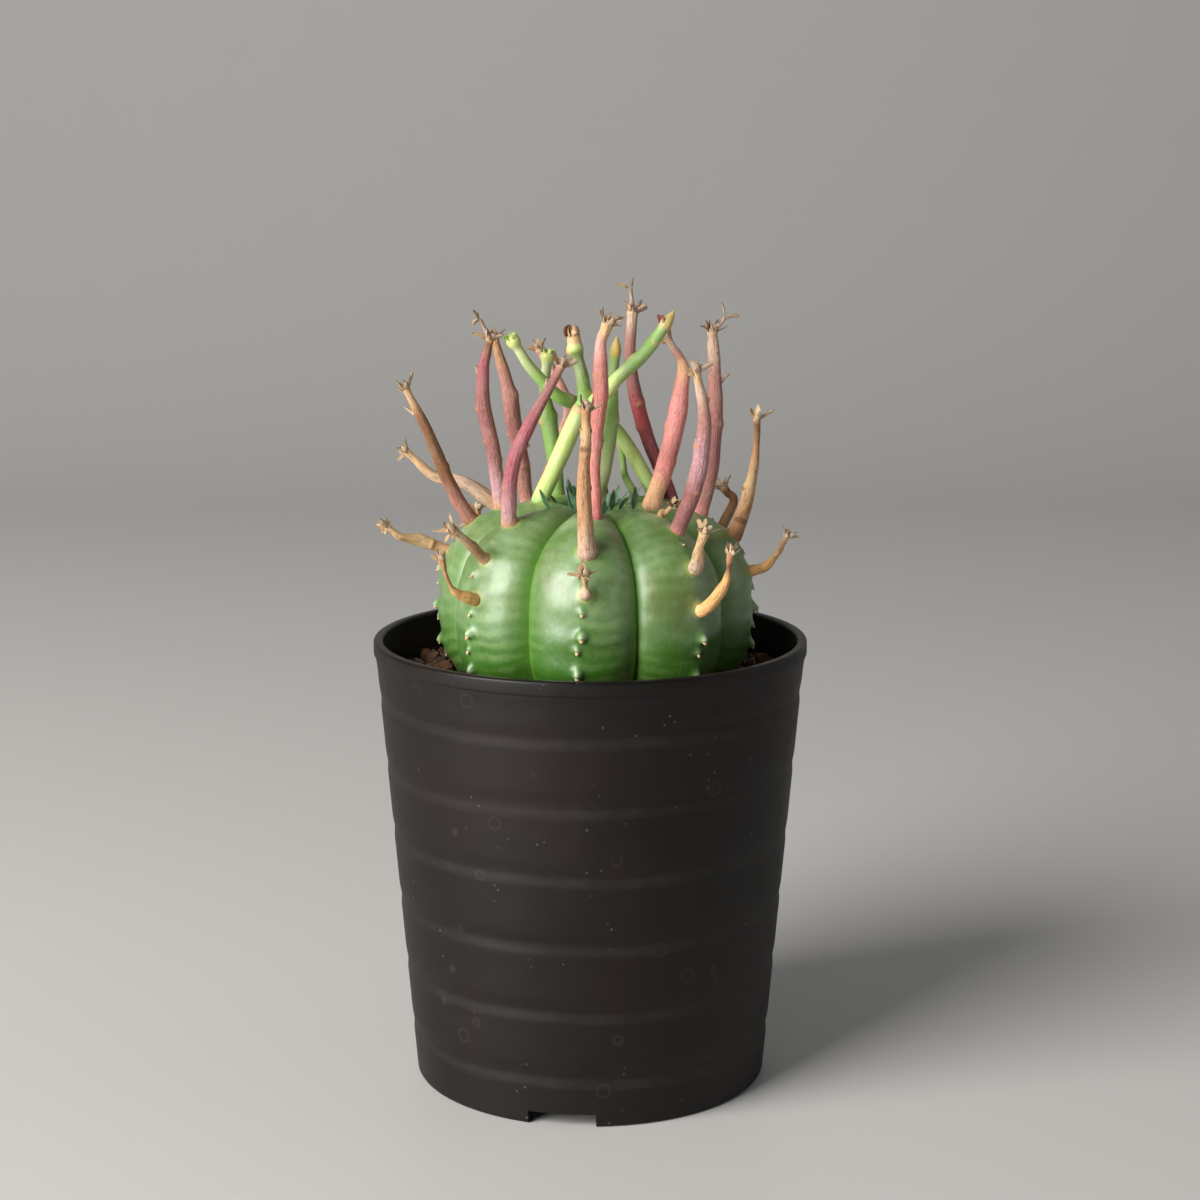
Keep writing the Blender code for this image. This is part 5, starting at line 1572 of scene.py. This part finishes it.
class PLANT_OT_stalks(bpy.types.Operator):
    """Grows the flower stalks, fresh and dry, each on its own"""
    bl_idname = "plant.stalks"
    bl_label = "Flower stalks"

    def execute(self, context):
        stem, palette = context.scene.plant_stem, context.scene.plant_stalks
        finishes = {slot: stalk_finish(slot) for slot in STALK_FINISHES}
        for number, stalk in enumerate(STALKS):
            base, normal, outward, sideways = stalk_frame(stalk, stem)

            def place(out, side, up, base=base, outward=outward, sideways=sideways):
                return base + (outward * out + sideways * side + np.array((0, 0, up))) * MM

            shells = stalk_shells(stalk, base, normal, place, palette, number * 1.7)
            if stalk.name == FORK_OF:
                for ray in FORK_RAYS:
                    start = place(*ray.route[0])
                    way = unit(place(*ray.route[1]) - start)
                    shells += stalk_shells(ray, start - way * 1.0 * MM, way, place, palette, 0.4)
            grown = Shell.joined(shells)
            add_piece(f"{stalk.name}_grown", grown, finishes[stalk.slot], stalk.slot, stalk.name)
        return {"FINISHED"}


class PLANT_OT_stage(bpy.types.Operator):
    """Lays the pale floor and sets the soft lights and the camera"""
    bl_idname = "plant.stage"
    bl_label = "Stage"

    def execute(self, context):
        scene, settings = context.scene, context.scene.plant_stage
        share = np.linspace(0, 1, 24)
        depth = np.concatenate([[-2.5], 0.8 + 0.7 * np.sin(share * math.pi / 2), [1.5]])
        rise = np.concatenate([[0], 0.7 - 0.7 * np.cos(share * math.pi / 2), [3.0]])
        points = [(x, y, z) for y, z in zip(depth, rise) for x in (-3.0, 3.0)]
        faces = [(2 * i, 2 * i + 1, 2 * i + 3, 2 * i + 2) for i in range(len(depth) - 1)]
        mesh = bpy.data.meshes.new("stage_floor")
        mesh.from_pydata(points, [], faces)
        mesh.shade_smooth()
        mesh.materials.append(floor_finish(settings))
        floor = bpy.data.objects.new("stage_floor", mesh)
        scene.collection.objects.link(floor)

        for name, place, size, watts, tint in (
            ("window_light", (-0.85, -0.68, 0.56), (0.8, 1.0), settings.key, (1.0, 0.985, 0.96)),
            ("fill_light", (1.15, 0.1, 0.5), (0.9, 0.9), settings.fill, (0.95, 0.97, 1.0)),
        ):
            add_area_light(name, place, (0, 0, 0.1), size, watts, tint)
        world = bpy.data.worlds.new("soft_sky")
        world.use_nodes = True
        sky = world.node_tree.nodes["Background"]
        sky.inputs["Color"].default_value = (0.93, 0.96, 1.0, 1.0)
        sky.inputs["Strength"].default_value = settings.sky
        scene.world = world
        scene.view_settings.view_transform = "Standard"

        data = bpy.data.cameras.new("camera")
        data.lens, data.sensor_width, data.shift_x = 74.2, 36.0, 0.0081
        camera = bpy.data.objects.new("camera", data)
        camera.location = (0, -settings.camera_back, settings.camera_up)
        camera.rotation_euler = (math.pi / 2 - settings.camera_drop, 0, 0)
        scene.collection.objects.link(camera)
        scene.camera = camera
        return {"FINISHED"}


OPERATORS = (PLANT_OT_pot, PLANT_OT_soil, PLANT_OT_stem, PLANT_OT_leaves, PLANT_OT_stalks, PLANT_OT_stage)
GROUPS = {
    "plant_pot": PotSettings, "plant_soil": SoilSettings, "plant_stem": StemSettings,
    "plant_stalks": StalkSettings, "plant_stage": StageSettings,
}


class PLANT_PT_sidebar(bpy.types.Panel):
    """Lists the steps that build the plant"""
    bl_idname = "PLANT_PT_sidebar"
    bl_label = "Potted euphorbia"
    bl_space_type = "VIEW_3D"
    bl_region_type = "UI"
    bl_category = "Plant"

    def draw(self, context):
        for operator in OPERATORS:
            self.layout.operator(operator.bl_idname)
        for group in GROUPS:
            settings = getattr(context.scene, group)
            box = self.layout.box()
            for name in settings.__annotations__:
                box.prop(settings, name)


def register():
    for group in GROUPS.values():
        bpy.utils.register_class(group)
    for name, group in GROUPS.items():
        setattr(bpy.types.Scene, name, PointerProperty(type=group))
    for made in (*OPERATORS, PLANT_PT_sidebar):
        bpy.utils.register_class(made)


def unregister():
    for made in (PLANT_PT_sidebar, *reversed(OPERATORS)):
        bpy.utils.unregister_class(made)
    for name, group in GROUPS.items():
        delattr(bpy.types.Scene, name)
        bpy.utils.unregister_class(group)


def main():
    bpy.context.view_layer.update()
    register()
    for step in (
        bpy.ops.plant.stage, bpy.ops.plant.pot, bpy.ops.plant.soil, bpy.ops.plant.stem,
        bpy.ops.plant.leaves, bpy.ops.plant.stalks,
    ):
        step()
    bpy.context.view_layer.update()


if __name__ == "__main__":
    main()
